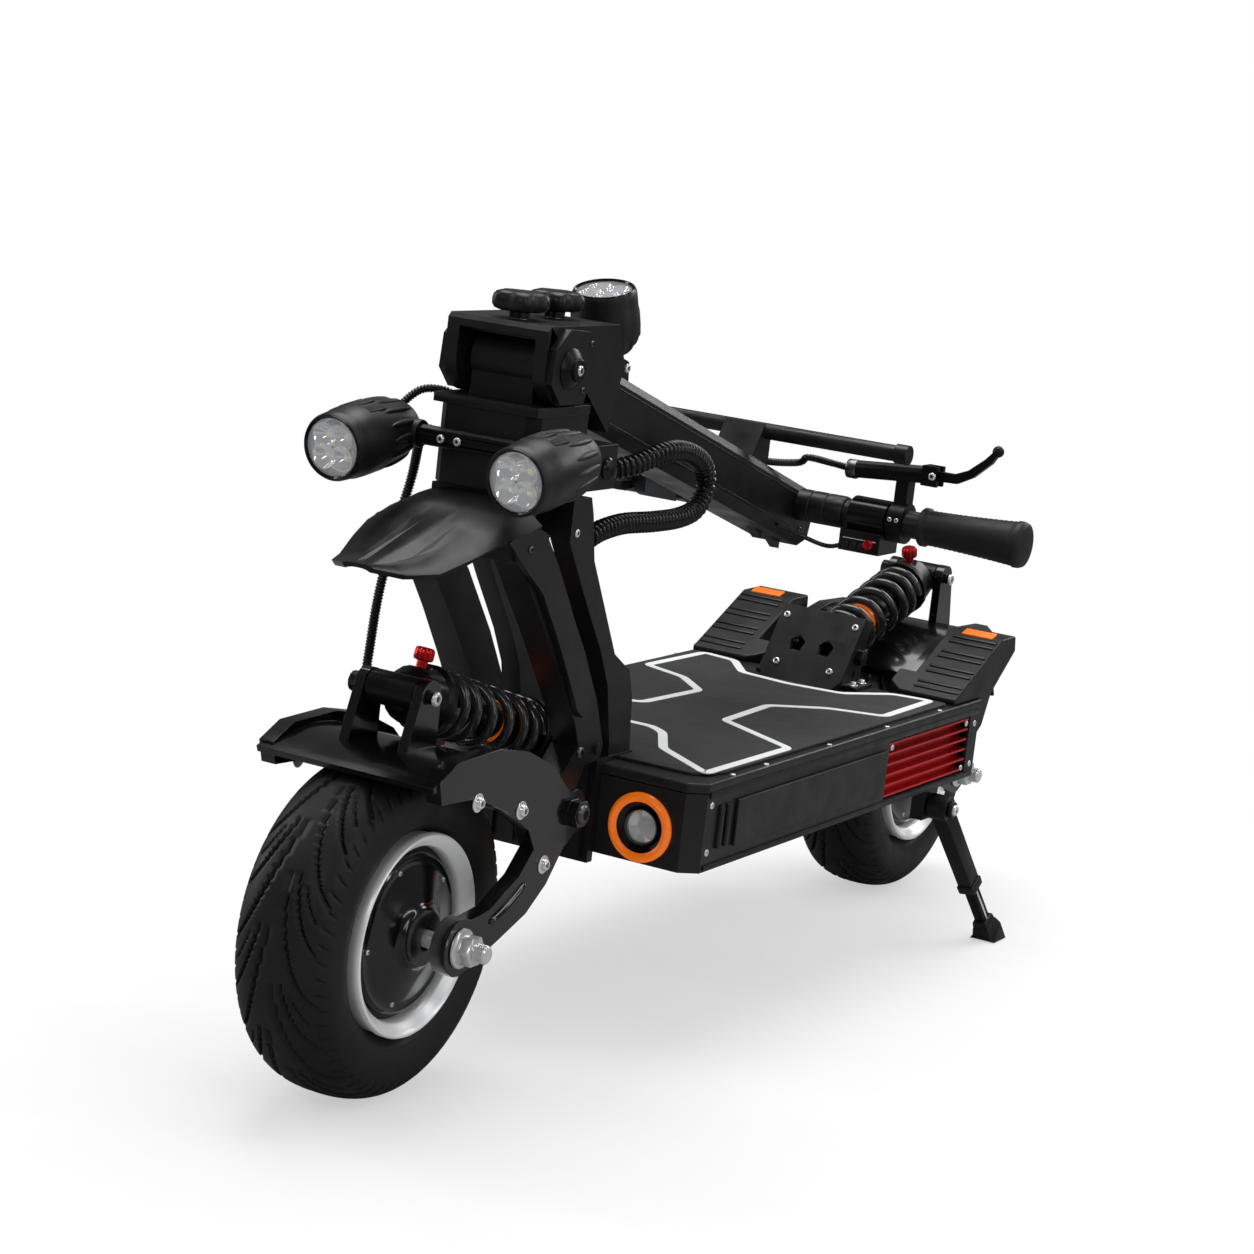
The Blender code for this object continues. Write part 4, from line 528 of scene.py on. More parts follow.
def groove_depth(x, r, turn_share):
    """Depth of the tread at a place: swept V grooves, a finer set and edge sipes."""
    out = abs(x) / (TYRE_W / 2)
    if r < 0.116:
        return 0.0
    sweep_on = SWEEP * (1 - math.exp(-out * 2.2))
    slope = SWEEP * 2.2 * math.exp(-out * 2.2) * 4 * math.pi * TYRE_R / TYRE_W

    def cut_at(count, offset, half_width, low, high):
        phase = (turn_share + sweep_on) * count + offset + (0.5 if x < 0 else 0.0)
        distance = abs((phase + 0.5) % 1.0 - 0.5) / count * 2 * math.pi * TYRE_R
        near = max(0.0, 1 - distance / (half_width * math.hypot(1.0, slope)))
        fade = min(max((out - low) / 0.06, 0), 1) * min(max((high - out) / 0.06, 0), 1)
        return min(1.0, near * 2.4) * fade

    deep = max(cut_at(V_GROOVES, 0.0, 0.0017, 0.05, 0.90),
               cut_at(V_GROOVES, 0.5, 0.0015, 0.22, 0.84),
               cut_at(V_GROOVES, 0.25, 0.0010, 0.42, 0.78) * 0.7,
               cut_at(SIPES, 0.2, 0.0011, 0.80, 0.99) * 0.7)
    return deep * GROOVE_DEPTH


def tyre(end, axle, forward):
    """The tyre; forward is the way its V grooves point at the ground."""
    bm = bmesh.new()
    # the groove layer also drives painted shade in the grooves, through the tread material
    dark = bm.verts.layers.float.new("groove")
    section = [tyre_section(k / TREAD_ACROSS) for k in range(TREAD_ACROSS + 1)]
    rows = []
    for step in range(TREAD_AROUND):
        share = step / TREAD_AROUND
        angle = 2 * math.pi * share
        row = []
        for r, x in section:
            depth = groove_depth(x, r, share * forward)
            rib = 0.0006 * (abs(r - 0.1035) < 0.0007) + 0.0005 * (abs(r - 0.0925) < 0.0006)
            place = Vector((x + math.copysign(rib, x), math.cos(angle) * (r - depth),
                            math.sin(angle) * (r - depth)))
            vert = bm.verts.new(axle + place)
            vert[dark] = depth / GROOVE_DEPTH
            row.append(vert)
        rows.append(row)
    for row, after in zip(rows, rows[1:] + rows[:1]):
        for k in range(TREAD_ACROSS):
            bm.faces.new((row[k], row[k + 1], after[k + 1], after[k]))
        bm.faces.new((row[-1], row[0], after[0], after[-1]))
    obj = from_bmesh(f"{end}_tyre_tread", bm, 50)
    place_piece(obj, TREAD_RUBBER_GROOVE_SHADE, f"{end}_wheel", [f"{end}_tyre"])


def groove_shaded(look):
    """A copy of a rubber finish with painted shade: darker where the groove attribute is deep."""
    made = look.copy()
    made.name = "tread_rubber_groove_shade"
    tree = made.node_tree
    shader = tree.nodes["Principled BSDF"]
    source = shader.inputs["Base Color"].links[0].from_socket
    depth = tree.nodes.new("ShaderNodeAttribute")
    depth.attribute_name = "groove"
    mix = tree.nodes.new("ShaderNodeMix")
    mix.data_type = "RGBA"
    # near-black colour painted into the grooves as shade
    mix.inputs["B"].default_value = (0.0015, 0.0015, 0.0015, 1)
    tree.links.new(depth.outputs["Fac"], mix.inputs["Factor"])
    tree.links.new(source, mix.inputs["A"])
    tree.links.new(mix.outputs["Result"], shader.inputs["Base Color"])
    return made


TREAD_RUBBER_GROOVE_SHADE = groove_shaded(TYRE_RUBBER)


def hub(end, axle):
    """Rim, dished motor covers, cover screws and brake disc."""
    body = f"{end}_wheel"
    for side, word in ((1, "left"), (-1, "right")):
        rim = [(0.0715, 0.0270), (0.0828, 0.0270), (0.0828, 0.0362), (0.0842, 0.0405),
               (0.0842, 0.0440), (0.0832, 0.0462), (0.0818, 0.0467), (0.0806, 0.0462),
               (0.0786, 0.0440), (0.0758, 0.0412), (0.0734, 0.0392), (0.0722, 0.0376),
               (0.0718, 0.0300)]
        turn(f"{end}_rim_{word}", rim, axle, X * side, RIM_SILVER, body, 96)
        dish = [(0.0, 0.0200), (0.0722, 0.0200), (0.0722, 0.0285), (0.0690, 0.0292),
                (0.0672, 0.0300), (0.0, 0.0300)]
        turn(f"{end}_barrel_{word}", dish, axle, X * side, POWDER, body, 72)
        reach = 0.0500 if side > 0 else 0.0460
        cover = [(0.0, 0.0290), (0.0662, 0.0290), (0.0668, 0.0335), (0.0660, 0.0356),
                 (0.0640, 0.0366), (0.0622, 0.0362), (0.0610, 0.0358), (0.0560, 0.0372),
                 (0.0480, 0.0396), (0.0400, 0.0424), (0.0330, 0.0448), (0.0280, 0.0460),
                 (0.0262, reach - 0.0022), (0.0245, reach - 0.0005), (0.0230, reach),
                 (0.0, reach)]
        stand_for = [f"{end}_hub"] if side > 0 else []
        turn(f"{end}_cover_{word}", cover, axle, X * side, HUB_PAINT, body, 96,
             stand_for)
        for k in range(5):
            angle = math.radians(40 + 72 * k)
            spoke = Vector((0, math.cos(angle), math.sin(angle)))
            screw(f"{end}_cover_screw_{word}_{k}", axle + spoke * 0.0578 + X * side * 0.0364,
                  X * side, 0.0022, body, height=0.6)
    centre = [(0.0100, 0.0490), (0.0225, 0.0490), (0.0225, 0.0535), (0.0205, 0.0542),
              (0.0100, 0.0542)]
    turn(f"{end}_hub_collar", centre, axle, X, DARK_STEEL, body, 40)
    bm = bmesh.new()
    disc_x, thick, around = -0.0600, 0.0018, 144
    rows = []
    for step in range(around):
        angle = 2 * math.pi * step / around
        edge = 0.0556 - 0.0014 * max(0.0, math.cos(9 * angle)) ** 6
        rows.append([bm.verts.new(axle + Vector((x, math.cos(angle) * r, math.sin(angle) * r)))
                     for r, x in ((0.0365, disc_x), (edge, disc_x), (edge, disc_x + thick),
                                  (0.0365, disc_x + thick))])
    for row, after in zip(rows, rows[1:] + rows[:1]):
        for k in range(4):
            bm.faces.new((row[k], row[(k + 1) % 4], after[(k + 1) % 4], after[k]))
    place_piece(from_bmesh(f"{end}_disc_ring", bm, 30), STEEL, body)
    spider = [(0.0105, disc_x), (0.0280, disc_x), (0.0280, disc_x + 0.0110),
              (0.0105, disc_x + 0.0110)]
    turn(f"{end}_disc_hub", [(r, -x) for r, x in reversed(spider)], axle, -X, BLACK_ANODISED,
         body, 40)
    for k in range(6):
        angle = math.radians(60 * k)
        spoke = Vector((0, math.cos(angle), math.sin(angle)))
        across = X.cross(spoke)
        arm = [(-0.0050, 0.0250), (0.0050, 0.0250), (0.0105, 0.0380), (0.0035, 0.0372),
               (-0.0035, 0.0372)]
        slab(f"{end}_disc_arm_{k}", arm, -X, spoke, axle + X * (disc_x + 0.0016), 0.0014,
             BLACK_ANODISED, body, 0.0002)
        screw(f"{end}_disc_screw_{k}", axle + spoke * 0.0200 + X * disc_x, -X, 0.0028, body)


def axle_ends(end, axle):
    """Threaded axle ends with flanged nuts and the plain shaft between."""
    body = BODY_OF[f"{end}_axle"]
    low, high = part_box(f"{end}_axle")
    reach = high.x
    shaft = [(0.0, -reach), (0.0062, -reach), (0.0074, -reach + 0.0012),
             (0.0074, reach - 0.0012), (0.0062, reach), (0.0, reach)]
    turn(f"{end}_axle_shaft", shaft, axle, X, STEEL, body, 36, [f"{end}_axle"])
    for side in (-1, 1):
        word = "left" if side > 0 else "right"
        flange = [(0.0076, 0.0864), (0.0158, 0.0864), (0.0165, 0.0870), (0.0163, 0.0886),
                  (0.0146, 0.0897), (0.0076, 0.0897)]
        turn(f"{end}_nut_flange_{word}", flange, axle, X * side, STEEL, body, 44)
        hex_nut(f"{end}_nut_{word}", axle + X * side * 0.0890, X * side, 0.0135, 0.0122, body)
        for k in range(5):
            thread = 0.1020 + 0.0019 * k
            turn(f"{end}_thread_{word}_{k}", [(0.0070, thread), (0.0078, thread + 0.0006),
                                              (0.0070, thread + 0.0012)],
                 axle, X * side, STEEL, body, 28)


for wheel_end, forward_sign in (("front", -1), ("rear", -1)):
    axle_at = pivot(f"{wheel_end}_spin")
    tyre(wheel_end, axle_at, forward_sign)
    hub(wheel_end, axle_at)
    axle_ends(wheel_end, axle_at)


# --------------------------------------------------- swing arms and dampers
# Glossy swing arms with a pressed rib and silver bolts; each shock has a fine
# coil spring, a red lobed knob and pin bolts.
ARM_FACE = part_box("front_swingarm")[1].x - 0.009      # outer face of a side plate
ARM_BOLTS = ((0.003, 0.1185), (0.072, 0.1015), (0.117, 0.0485))
RIB = ((0.040, 0.0125), (0.058, 0.0185), (0.076, 0.0275), (0.092, 0.0375))


def end_point(end, u, v, x):
    """A place measured inwards and up from an axle."""
    axle = pivot(f"{end}_spin")
    inwards = 1 if end == "front" else -1
    return Vector((x, axle.y + inwards * u, axle.z + v))


def swingarm(end):
    refine(f"{end}_swingarm", ARM_PAINT, 0.0013)
    body = BODY_OF[f"{end}_swingarm"]
    for side in (-1, 1):
        word = "left" if side > 0 else "right"
        face = ARM_FACE * side
        for k, (u, v) in enumerate(ARM_BOLTS):
            if end == "rear" and k == 1:
                continue                    # a footrest comes down over this place
            screw(f"{end}_arm_bolt_{word}_{k}", end_point(end, u, v, face), X * side, 0.0052,
                  body, SILVER, washer=0.0078, height=0.75)
        screw(f"{end}_arm_pivot_{word}", end_point(end, 0.159, 0.086, face + side * 0.0088),
              X * side, 0.0085, body, DARK_STEEL, height=0.4)
        rib = smooth_route([end_point(end, u, v, face + side * 0.0002) for u, v in RIB], 8)
        last = len(rib) - 1
        radii = [0.0034 * math.sqrt(max(0.02, 1 - abs(2 * k / last - 1) ** 6))
                 for k in range(last + 1)]
        sweep(f"{end}_arm_rib_{word}", rib, radii, ARM_PAINT, body, 16)


def shock(end):
    """Coil spring, knob, label band and pin bolts of one end."""
    body_eye = pivot(f"{end}_damper_pivot")
    stroke = Vector(JOINTS[f"{end}_damper_stroke"]["axis"])
    refine(f"{end}_shock_rod", BLACK_ANODISED, 0.0007)
    refine(f"{end}_shock_body", BLACK_ANODISED, 0.0007)
    low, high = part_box(f"{end}_spring")
    wire = 0.0044
    radius = (high.x - low.x) / 2 - wire
    arm_way = -stroke
    reach = [(Vector(v.co) - body_eye).dot(arm_way) for v in NODES[f"{end}_spring"].data.vertices]
    near, far = min(reach) + wire, max(reach) - wire
    turns, per_turn = 7, 40
    square = X.cross(stroke).normalized()
    points = []
    for step in range(turns * per_turn + 1):
        share = step / (turns * per_turn)
        pitch = share - 0.055 * math.sin(2 * math.pi * share)
        angle = 2 * math.pi * turns * share
        points.append(body_eye + arm_way * (near + (far - near) * pitch)
                      + (X * math.cos(angle) + square * math.sin(angle)) * radius)
    coil = sweep(f"{end}_coil", points, [wire] * len(points), SPRING_COAT,
                 f"{end}_damper", 14, [f"{end}_spring"])
    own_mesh(coil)
    band = near + (far - near) * 0.30
    # the orange band carries a painted glow
    turn(f"{end}_label_band", [(0.0170, band), (0.0176, band), (0.0176, band + 0.013),
                               (0.0170, band + 0.013)], body_eye, arm_way, GLOWING_ORANGE_PLASTIC,
         f"{end}_damper", 40)
    for k in range(3):
        at = near - 0.0050 + 0.0022 * k
        turn(f"{end}_seat_ring_{k}", [(0.0280, at), (0.0294, at + 0.0006),
                                      (0.0280, at + 0.0012)], body_eye, arm_way,
             BLACK_ANODISED, f"{end}_damper", 44)
    knob_at, knob_up = pivot(f"{end}_rebound"), Vector(JOINTS[f"{end}_rebound"]["axis"])
    knob = [(0.0, 0.0004), (0.0045, 0.0004), (0.0045, 0.0056), (0.0075, 0.0064),
            (0.0083, 0.0078), (0.0083, 0.0140), (0.0078, 0.0156), (0.0064, 0.0168),
            (0.0040, 0.0168), (0.0036, 0.0160), (0.0, 0.0160)]
    turn(f"{end}_knob_lobed", knob, knob_at, knob_up, RED_ANODISED, f"{end}_knob",
         80, [f"{end}_rebound_knob"],
         wave=lambda a: 1.0 - 0.09 * max(0.0, math.cos(8 * a)) ** 2)
    turn(f"{end}_knob_stem", [(0.0, -0.0020), (0.0040, -0.0020), (0.0040, 0.0003), (0.0, 0.0003)],
         knob_at, knob_up, CHROME, f"{end}_rod", 24)
    arm_body = BODY_OF[f"{end}_swingarm"]
    eye = end_point(end, *((0.005, 0.192) if end == "front" else (-0.030, 0.197)), 0)
    for side in (-1, 1):
        word = "left" if side > 0 else "right"
        screw(f"{end}_eye_bolt_{word}", eye + X * side * 0.0365, X * side, 0.0062, arm_body,
              DARK_STEEL if side < 0 else SILVER, height=0.45)


for wheel_end in ("front", "rear"):
    swingarm(wheel_end)
    shock(wheel_end)
    refine(f"{wheel_end}_caliper", BLACK_ANODISED, 0.0010)
refine("rear_fender", MOULDED, 0.0012)


# --------------------------------------------------------------------- deck
# Painted tray and top plate, rubber mat with an inlaid white line, screws,
# vents, red finned sinks, orange-ringed lamps and the battery inside.
PLATE_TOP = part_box("top_plate")[1].z
MAT_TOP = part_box("deck_mat")[1].z
DECK_LOW, DECK_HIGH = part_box("deck_shell")
refine("deck_shell", DECK_PAINT, 0.0016)
refine("top_plate", DECK_PAINT, 0.0022)
refine("battery_pack", MOULDED, 0.0030)
for word in "lr":
    refine(f"side_cover_{word}", DECK_PAINT, 0.0006)
    refine(f"heat_sink_{word}", RED_ANODISED, 0.0005)


def rounded(points, radius, steps=6):
    """An open line with its inner corners rounded."""
    points = [Vector((x, y, 0)) for x, y in points]
    line = [points[0]]
    for before, corner, after in zip(points, points[1:], points[2:]):
        to_before, to_after = before - corner, after - corner
        reach = min(radius, to_before.length * 0.45, to_after.length * 0.45)
        start, stop = corner + to_before.normalized() * reach, corner + to_after.normalized() * reach
        for k in range(steps + 1):
            t = k / steps
            line.append(start * (1 - t) ** 2 + corner * 2 * t * (1 - t) + stop * t * t)
    line.append(points[-1])
    return line


def ribbon(name, line, width, low, high, look):
    """A flat band of even width along a line, standing a hair proud of the mat."""
    bm = bmesh.new()
    rows = []
    last = len(line) - 1
    for k, place in enumerate(line):
        into = (place - line[max(k - 1, 0)]).normalized() if k else None
        out = (line[min(k + 1, last)] - place).normalized() if k < last else None
        into, out = into or out, out or into
        side = Z.cross((into + out).normalized())
        stretch = 1 / max(0.4, side.dot(Z.cross(out)))
        half = side * (width / 2 * min(stretch, 2.2))
        rows.append([bm.verts.new(Vector((p.x, p.y, z))) for p, z in
                     ((place - half, low), (place + half, low),
                      (place + half, high), (place - half, high))])
    for low_row, high_row in zip(rows, rows[1:]):
        for k in range(4):
            bm.faces.new((low_row[k], low_row[(k + 1) % 4], high_row[(k + 1) % 4], high_row[k]))
    bm.faces.new(rows[0])
    bm.faces.new(rows[-1])
    place_piece(from_bmesh(name, bm, 30), look, "frame")


def mat():
    """The rubber mat and the white line that runs round its two pointed ends."""
    half, front, rear = 0.1450, -0.2120, 0.2990
    outline = [(-half + 0.016, front), (half - 0.016, front), (half, front + 0.030),
               (half, rear), (0.0960, rear), (0.0560, 0.2440), (-0.0560, 0.2440),
               (-0.0960, rear), (-half, rear), (-half, front + 0.030)]
    line = rounded([(x, y) for x, y in outline] + [outline[0]], 0.006, 4)
    flat = [(p.x, p.y) for p in line[:-1]]
    slab("mat_sheet", flat, Z, Y, Vector((0, 0, PLATE_TOP + 0.0003)),
         MAT_TOP - PLATE_TOP - 0.0003, MAT_RUBBER, "frame", 0.0005, ["deck_mat"])
    half_line = [(0.0, -0.0790), (0.0150, -0.0790), (0.0340, -0.0930), (0.0660, -0.1500),
                 (0.1370, -0.2030), (0.1380, -0.0440), (0.0440, 0.0100), (0.0380, 0.1120),
                 (0.0800, 0.1560), (0.1320, 0.1760), (0.1290, 0.2930), (0.0900, 0.2860),
                 (0.0560, 0.2380), (0.0, 0.2300)]
    loop = half_line + [(-x, y) for x, y in reversed(half_line[:-1])]
    ribbon("mat_line", rounded(loop, 0.0075), 0.0086, MAT_TOP - 0.0004, MAT_TOP + 0.0004,
           WHITE_LINE)


mat()

DECK_SCREWS = (-0.175, -0.111, 0.018, 0.145, 0.270)
for side in (-1, 1):
    word = "left" if side > 0 else "right"
    for k, y in enumerate(DECK_SCREWS):
        screw(f"deck_screw_{word}_{k}", (side * 0.1495, y, PLATE_TOP - 0.0002), Z, 0.0026,
              "frame", SILVER, height=0.5)
    face = DECK_HIGH.x * side
    for k, (y, z) in enumerate(((-0.2150, 0.2280), (-0.2150, 0.1860), (0.3570, 0.2250),
                                (0.3570, 0.1830))):
        screw(f"side_screw_{word}_{k}", (face, y, z), X * side, 0.0032, "frame", SILVER,
              height=0.4)
    for k in range(2):
        y = -0.2010 + 0.0135 * k
        span = sorted((face - side * 0.001, face + side * 0.0034))
        block(f"vent_bar_{word}_{k}", (span[0], y, 0.1870), (span[1], y + 0.0078, 0.2260),
              MOULDED, "frame", 0.0022)
    span = sorted((face, face + side * 0.0016))
    block(f"deck_sill_{word}", (span[0], DECK_LOW.y + 0.018, DECK_LOW.z + 0.0015),
          (span[1], DECK_HIGH.y - 0.004, DECK_LOW.z + 0.0062), DECK_PAINT, "frame",
          0.0006)
    block(f"deck_rail_{word}", (span[0], DECK_LOW.y + 0.018, DECK_HIGH.z - 0.0070),
          (span[1], DECK_HIGH.y - 0.004, DECK_HIGH.z - 0.0008), DECK_PAINT, "frame",
          0.0006)
    for k, (y, z) in enumerate(((0.1580, 0.2270), (0.3380, 0.2270), (0.3380, 0.1810))):
        screw(f"sink_screw_{word}_{k}", (face - side * 0.0012, y, z), X * side, 0.0030,
              "frame", SILVER, height=0.5)


def deck_lamp(word):
    """Orange ring with a painted glow, dark bowl, chrome rim and a clear dome over a bright core."""
    low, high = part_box(f"deck_lamp_{word}")
    centre = Vector(((low.x + high.x) / 2, DECK_LOW.y, (low.z + high.z) / 2))
    forward = -Y
    radius = (high.x - low.x) / 2
    ring = [(radius - 0.0080, 0.0004), (radius, 0.0004), (radius + 0.0002, 0.0030),
            (radius - 0.0012, 0.0052), (radius - 0.0036, 0.0062), (radius - 0.0060, 0.0056),
            (radius - 0.0080, 0.0036)]
    turn(f"deck_lamp_ring_{word}", ring, centre, forward, GLOWING_ORANGE_PLASTIC, "frame",
         72, [f"deck_lamp_{word}"])
    bowl = [(0.0, -0.012), (0.0150, -0.012), (0.0165, -0.002), (radius - 0.0076, 0.0030),
            (radius - 0.0076, 0.0000), (radius - 0.0041, -0.0005), (radius - 0.0041, -0.020),
            (0.0, -0.020)]
    turn(f"deck_lamp_bowl_{word}", bowl, centre, forward, GLOSS_PLASTIC, "frame",
         60)
    turn(f"deck_lamp_rim_{word}", [(0.0148, -0.0030), (0.0162, -0.0030), (0.0160, 0.0004),
                                   (0.0150, 0.0006)], centre, forward, DARK_STEEL, "frame",
         48)
    turn(f"deck_lamp_core_{word}", [(0.0, -0.0110), (0.0130, -0.0110), (0.0148, -0.0040),
                                    (0.0140, -0.0040), (0.0080, -0.0090), (0.0, -0.0095)],
         centre, forward, CHROME, "frame", 40)
    dome = [(0.0, -0.0035)]
    dome += [(0.0148 * math.cos(a), -0.0030 + 0.0088 * math.sin(a))
             for a in (math.radians(d) for d in range(0, 91, 9))]
    dome[-1] = (0.0, dome[-1][1])
    turn(f"deck_lamp_dome_{word}", dome, centre, forward, LENS, "frame", 48)


deck_lamp("l")
deck_lamp("r")


# -------------------------------------------------- neck, fork and steering
# Powder-coated neck and fork, a satin beak fender, the clamp block with its
# crossbar, and the frame's rear bracket, footrests and stand.
for node, look, width in (("neck_frame", POWDER, 0.0022), ("fork", POWDER, 0.0020),
                          ("clamp_block", POWDER, 0.0011), ("hinge_head", POWDER, 0.0012),
                          ("stem_tube", POWDER, 0.0009), ("rear_bracket", POWDER, 0.0007),
                          ("footrest_l", MOULDED, 0.0018), ("footrest_r", MOULDED, 0.0018),
                          ("kickstand_bracket", POWDER, 0.0008), ("headset", STEEL, 0.0003)):
    refine(node, look, width)
beak = refine("fork_fender", BEAK_PLASTIC, 0.0012, 40.0)
beak_low, beak_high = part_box("fork_fender")
for vert in beak.data.vertices:
    if vert.co.z > 0.430 and vert.co.y < -0.4300:
        out = min(1.0, (-0.4300 - vert.co.y) / (-0.4300 - beak_low.y))
        spread = min(1.0, abs(vert.co.x) / 0.058)
        vert.co.z -= 0.017 * math.sin(math.pi * out) * (1 - spread ** 2)
        vert.co.x = max(beak_low.x, min(beak_high.x, vert.co.x * (1 + 0.55 * out ** 2)))

FOLD = pivot("stem_fold")
for side in (-1, 1):
    word = "left" if side > 0 else "right"
    screw(f"fork_leg_screw_{word}", (side * 0.0600, -0.2900, 0.2660), X * side, 0.0050,
          "steering", DARK_STEEL)
    screw(f"fork_pivot_screw_{word}", (side * 0.0530, -0.3240, 0.4560), X * side, 0.0036,
          "frame", STEEL)
    screw(f"neck_foot_screw_{word}", (side * 0.0470, -0.2080, 0.2527), Z, 0.0042, "frame",
          STEEL)
    screw(f"blade_screw_{word}", (side * 0.0659, -0.4180, 0.4520), X * side, 0.0030,
          "steering", DARK_STEEL)
bar_y = pivot("lamp_tilt_l").y
bar_z = pivot("lamp_tilt_l").z
for k, x in enumerate((-0.0160, -0.0320)):
    screw(f"crossbar_screw_{k}", (x, bar_y - 0.0094, bar_z), -Y, 0.0036, "steering", STEEL,
          height=0.6)
for k, z in enumerate((-0.0052, 0.0, 0.0052)):
    block(f"crossbar_flute_{k}", (-0.0555, bar_y - 0.0098, bar_z + z - 0.0012),
          (0.0555, bar_y - 0.0060, bar_z + z + 0.0012), BLACK_ANODISED, "steering",
          0.0005)
block("flange_lip", (-0.0490, FOLD.y - 0.0385, 0.5570),
      (0.0490, FOLD.y - 0.0375, 0.5615), POWDER, "steering", 0.0003)
turn("outlet_ring", [(0.0098, -0.0012), (0.0124, -0.0012), (0.0126, 0.0006), (0.0120, 0.0022),
                     (0.0098, 0.0022)], (0.0300, -0.2490, 0.5000), Y, DARK_STEEL, "steering",
     40)
turn("outlet_cap", [(0.0, 0.0), (0.0095, 0.0), (0.0095, 0.0016), (0.0080, 0.0028),
                    (0.0060, 0.0022), (0.0, 0.0018)], (0.0462, -0.2720, 0.5060), X,
     GLOSS_PLASTIC, "steering", 36)

# hinge head: conical washers and bolts on the fold pin, a latch plate inside
for side in (-1, 1):
    word = "left" if side > 0 else "right"
    cone = [(0.0, 0.0538), (0.0172, 0.0538), (0.0172, 0.0548), (0.0118, 0.0592),
            (0.0096, 0.0600), (0.0094, 0.0622), (0.0086, 0.0630), (0.0, 0.0630)]
    turn(f"fold_cone_{word}", cone, Vector((0, FOLD.y, FOLD.z)), X * side, BLACK_ANODISED,
         "stem", 60)
    screw(f"fold_bolt_{word}", (side * 0.0622, FOLD.y, FOLD.z), X * side, 0.0044, "stem",
          CHROME, height=0.5)
    for k, (y, z) in enumerate(((0.030, 0.020), (0.022, -0.018))):
        screw(f"cheek_screw_{word}_{k}", (side * 0.0538, FOLD.y + y, FOLD.z + z), X * side,
              0.0026, "stem", DARK_STEEL)
block("head_shelf", (-0.0362, FOLD.y - 0.0180, FOLD.z + 0.0205),
      (0.0362, FOLD.y + 0.0270, FOLD.z + 0.0238), POWDER, "stem", 0.0006)


def lobed_knob(name, joint):
    """Five-lobed clamping knob with a domed top and a metal insert."""
    at = pivot(joint)
    body = JOINTS[joint]["child"]
    profile = [(0.0, 0.0004), (0.0090, 0.0004), (0.0092, 0.0060), (0.0175, 0.0062),
               (0.0222, 0.0078), (0.0243, 0.0110), (0.0246, 0.0150), (0.0238, 0.0186),
               (0.0216, 0.0212), (0.0180, 0.0224), (0.0110, 0.0229), (0.0, 0.0230)]
    turn(f"{name}_moulded", profile, at, Z, BEAK_PLASTIC, body, 120, [name],
         wave=lambda a: 0.915 + 0.085 * math.cos(5 * a))
    turn(f"{name}_insert", [(0.0, 0.0), (0.0070, 0.0), (0.0070, 0.0055), (0.0, 0.0055)], at, Z,
         STEEL, body, 28)


lobed_knob("clamp_knob_a", "clamp_knob_turn_a")
lobed_knob("clamp_knob_b", "clamp_knob_turn_b")
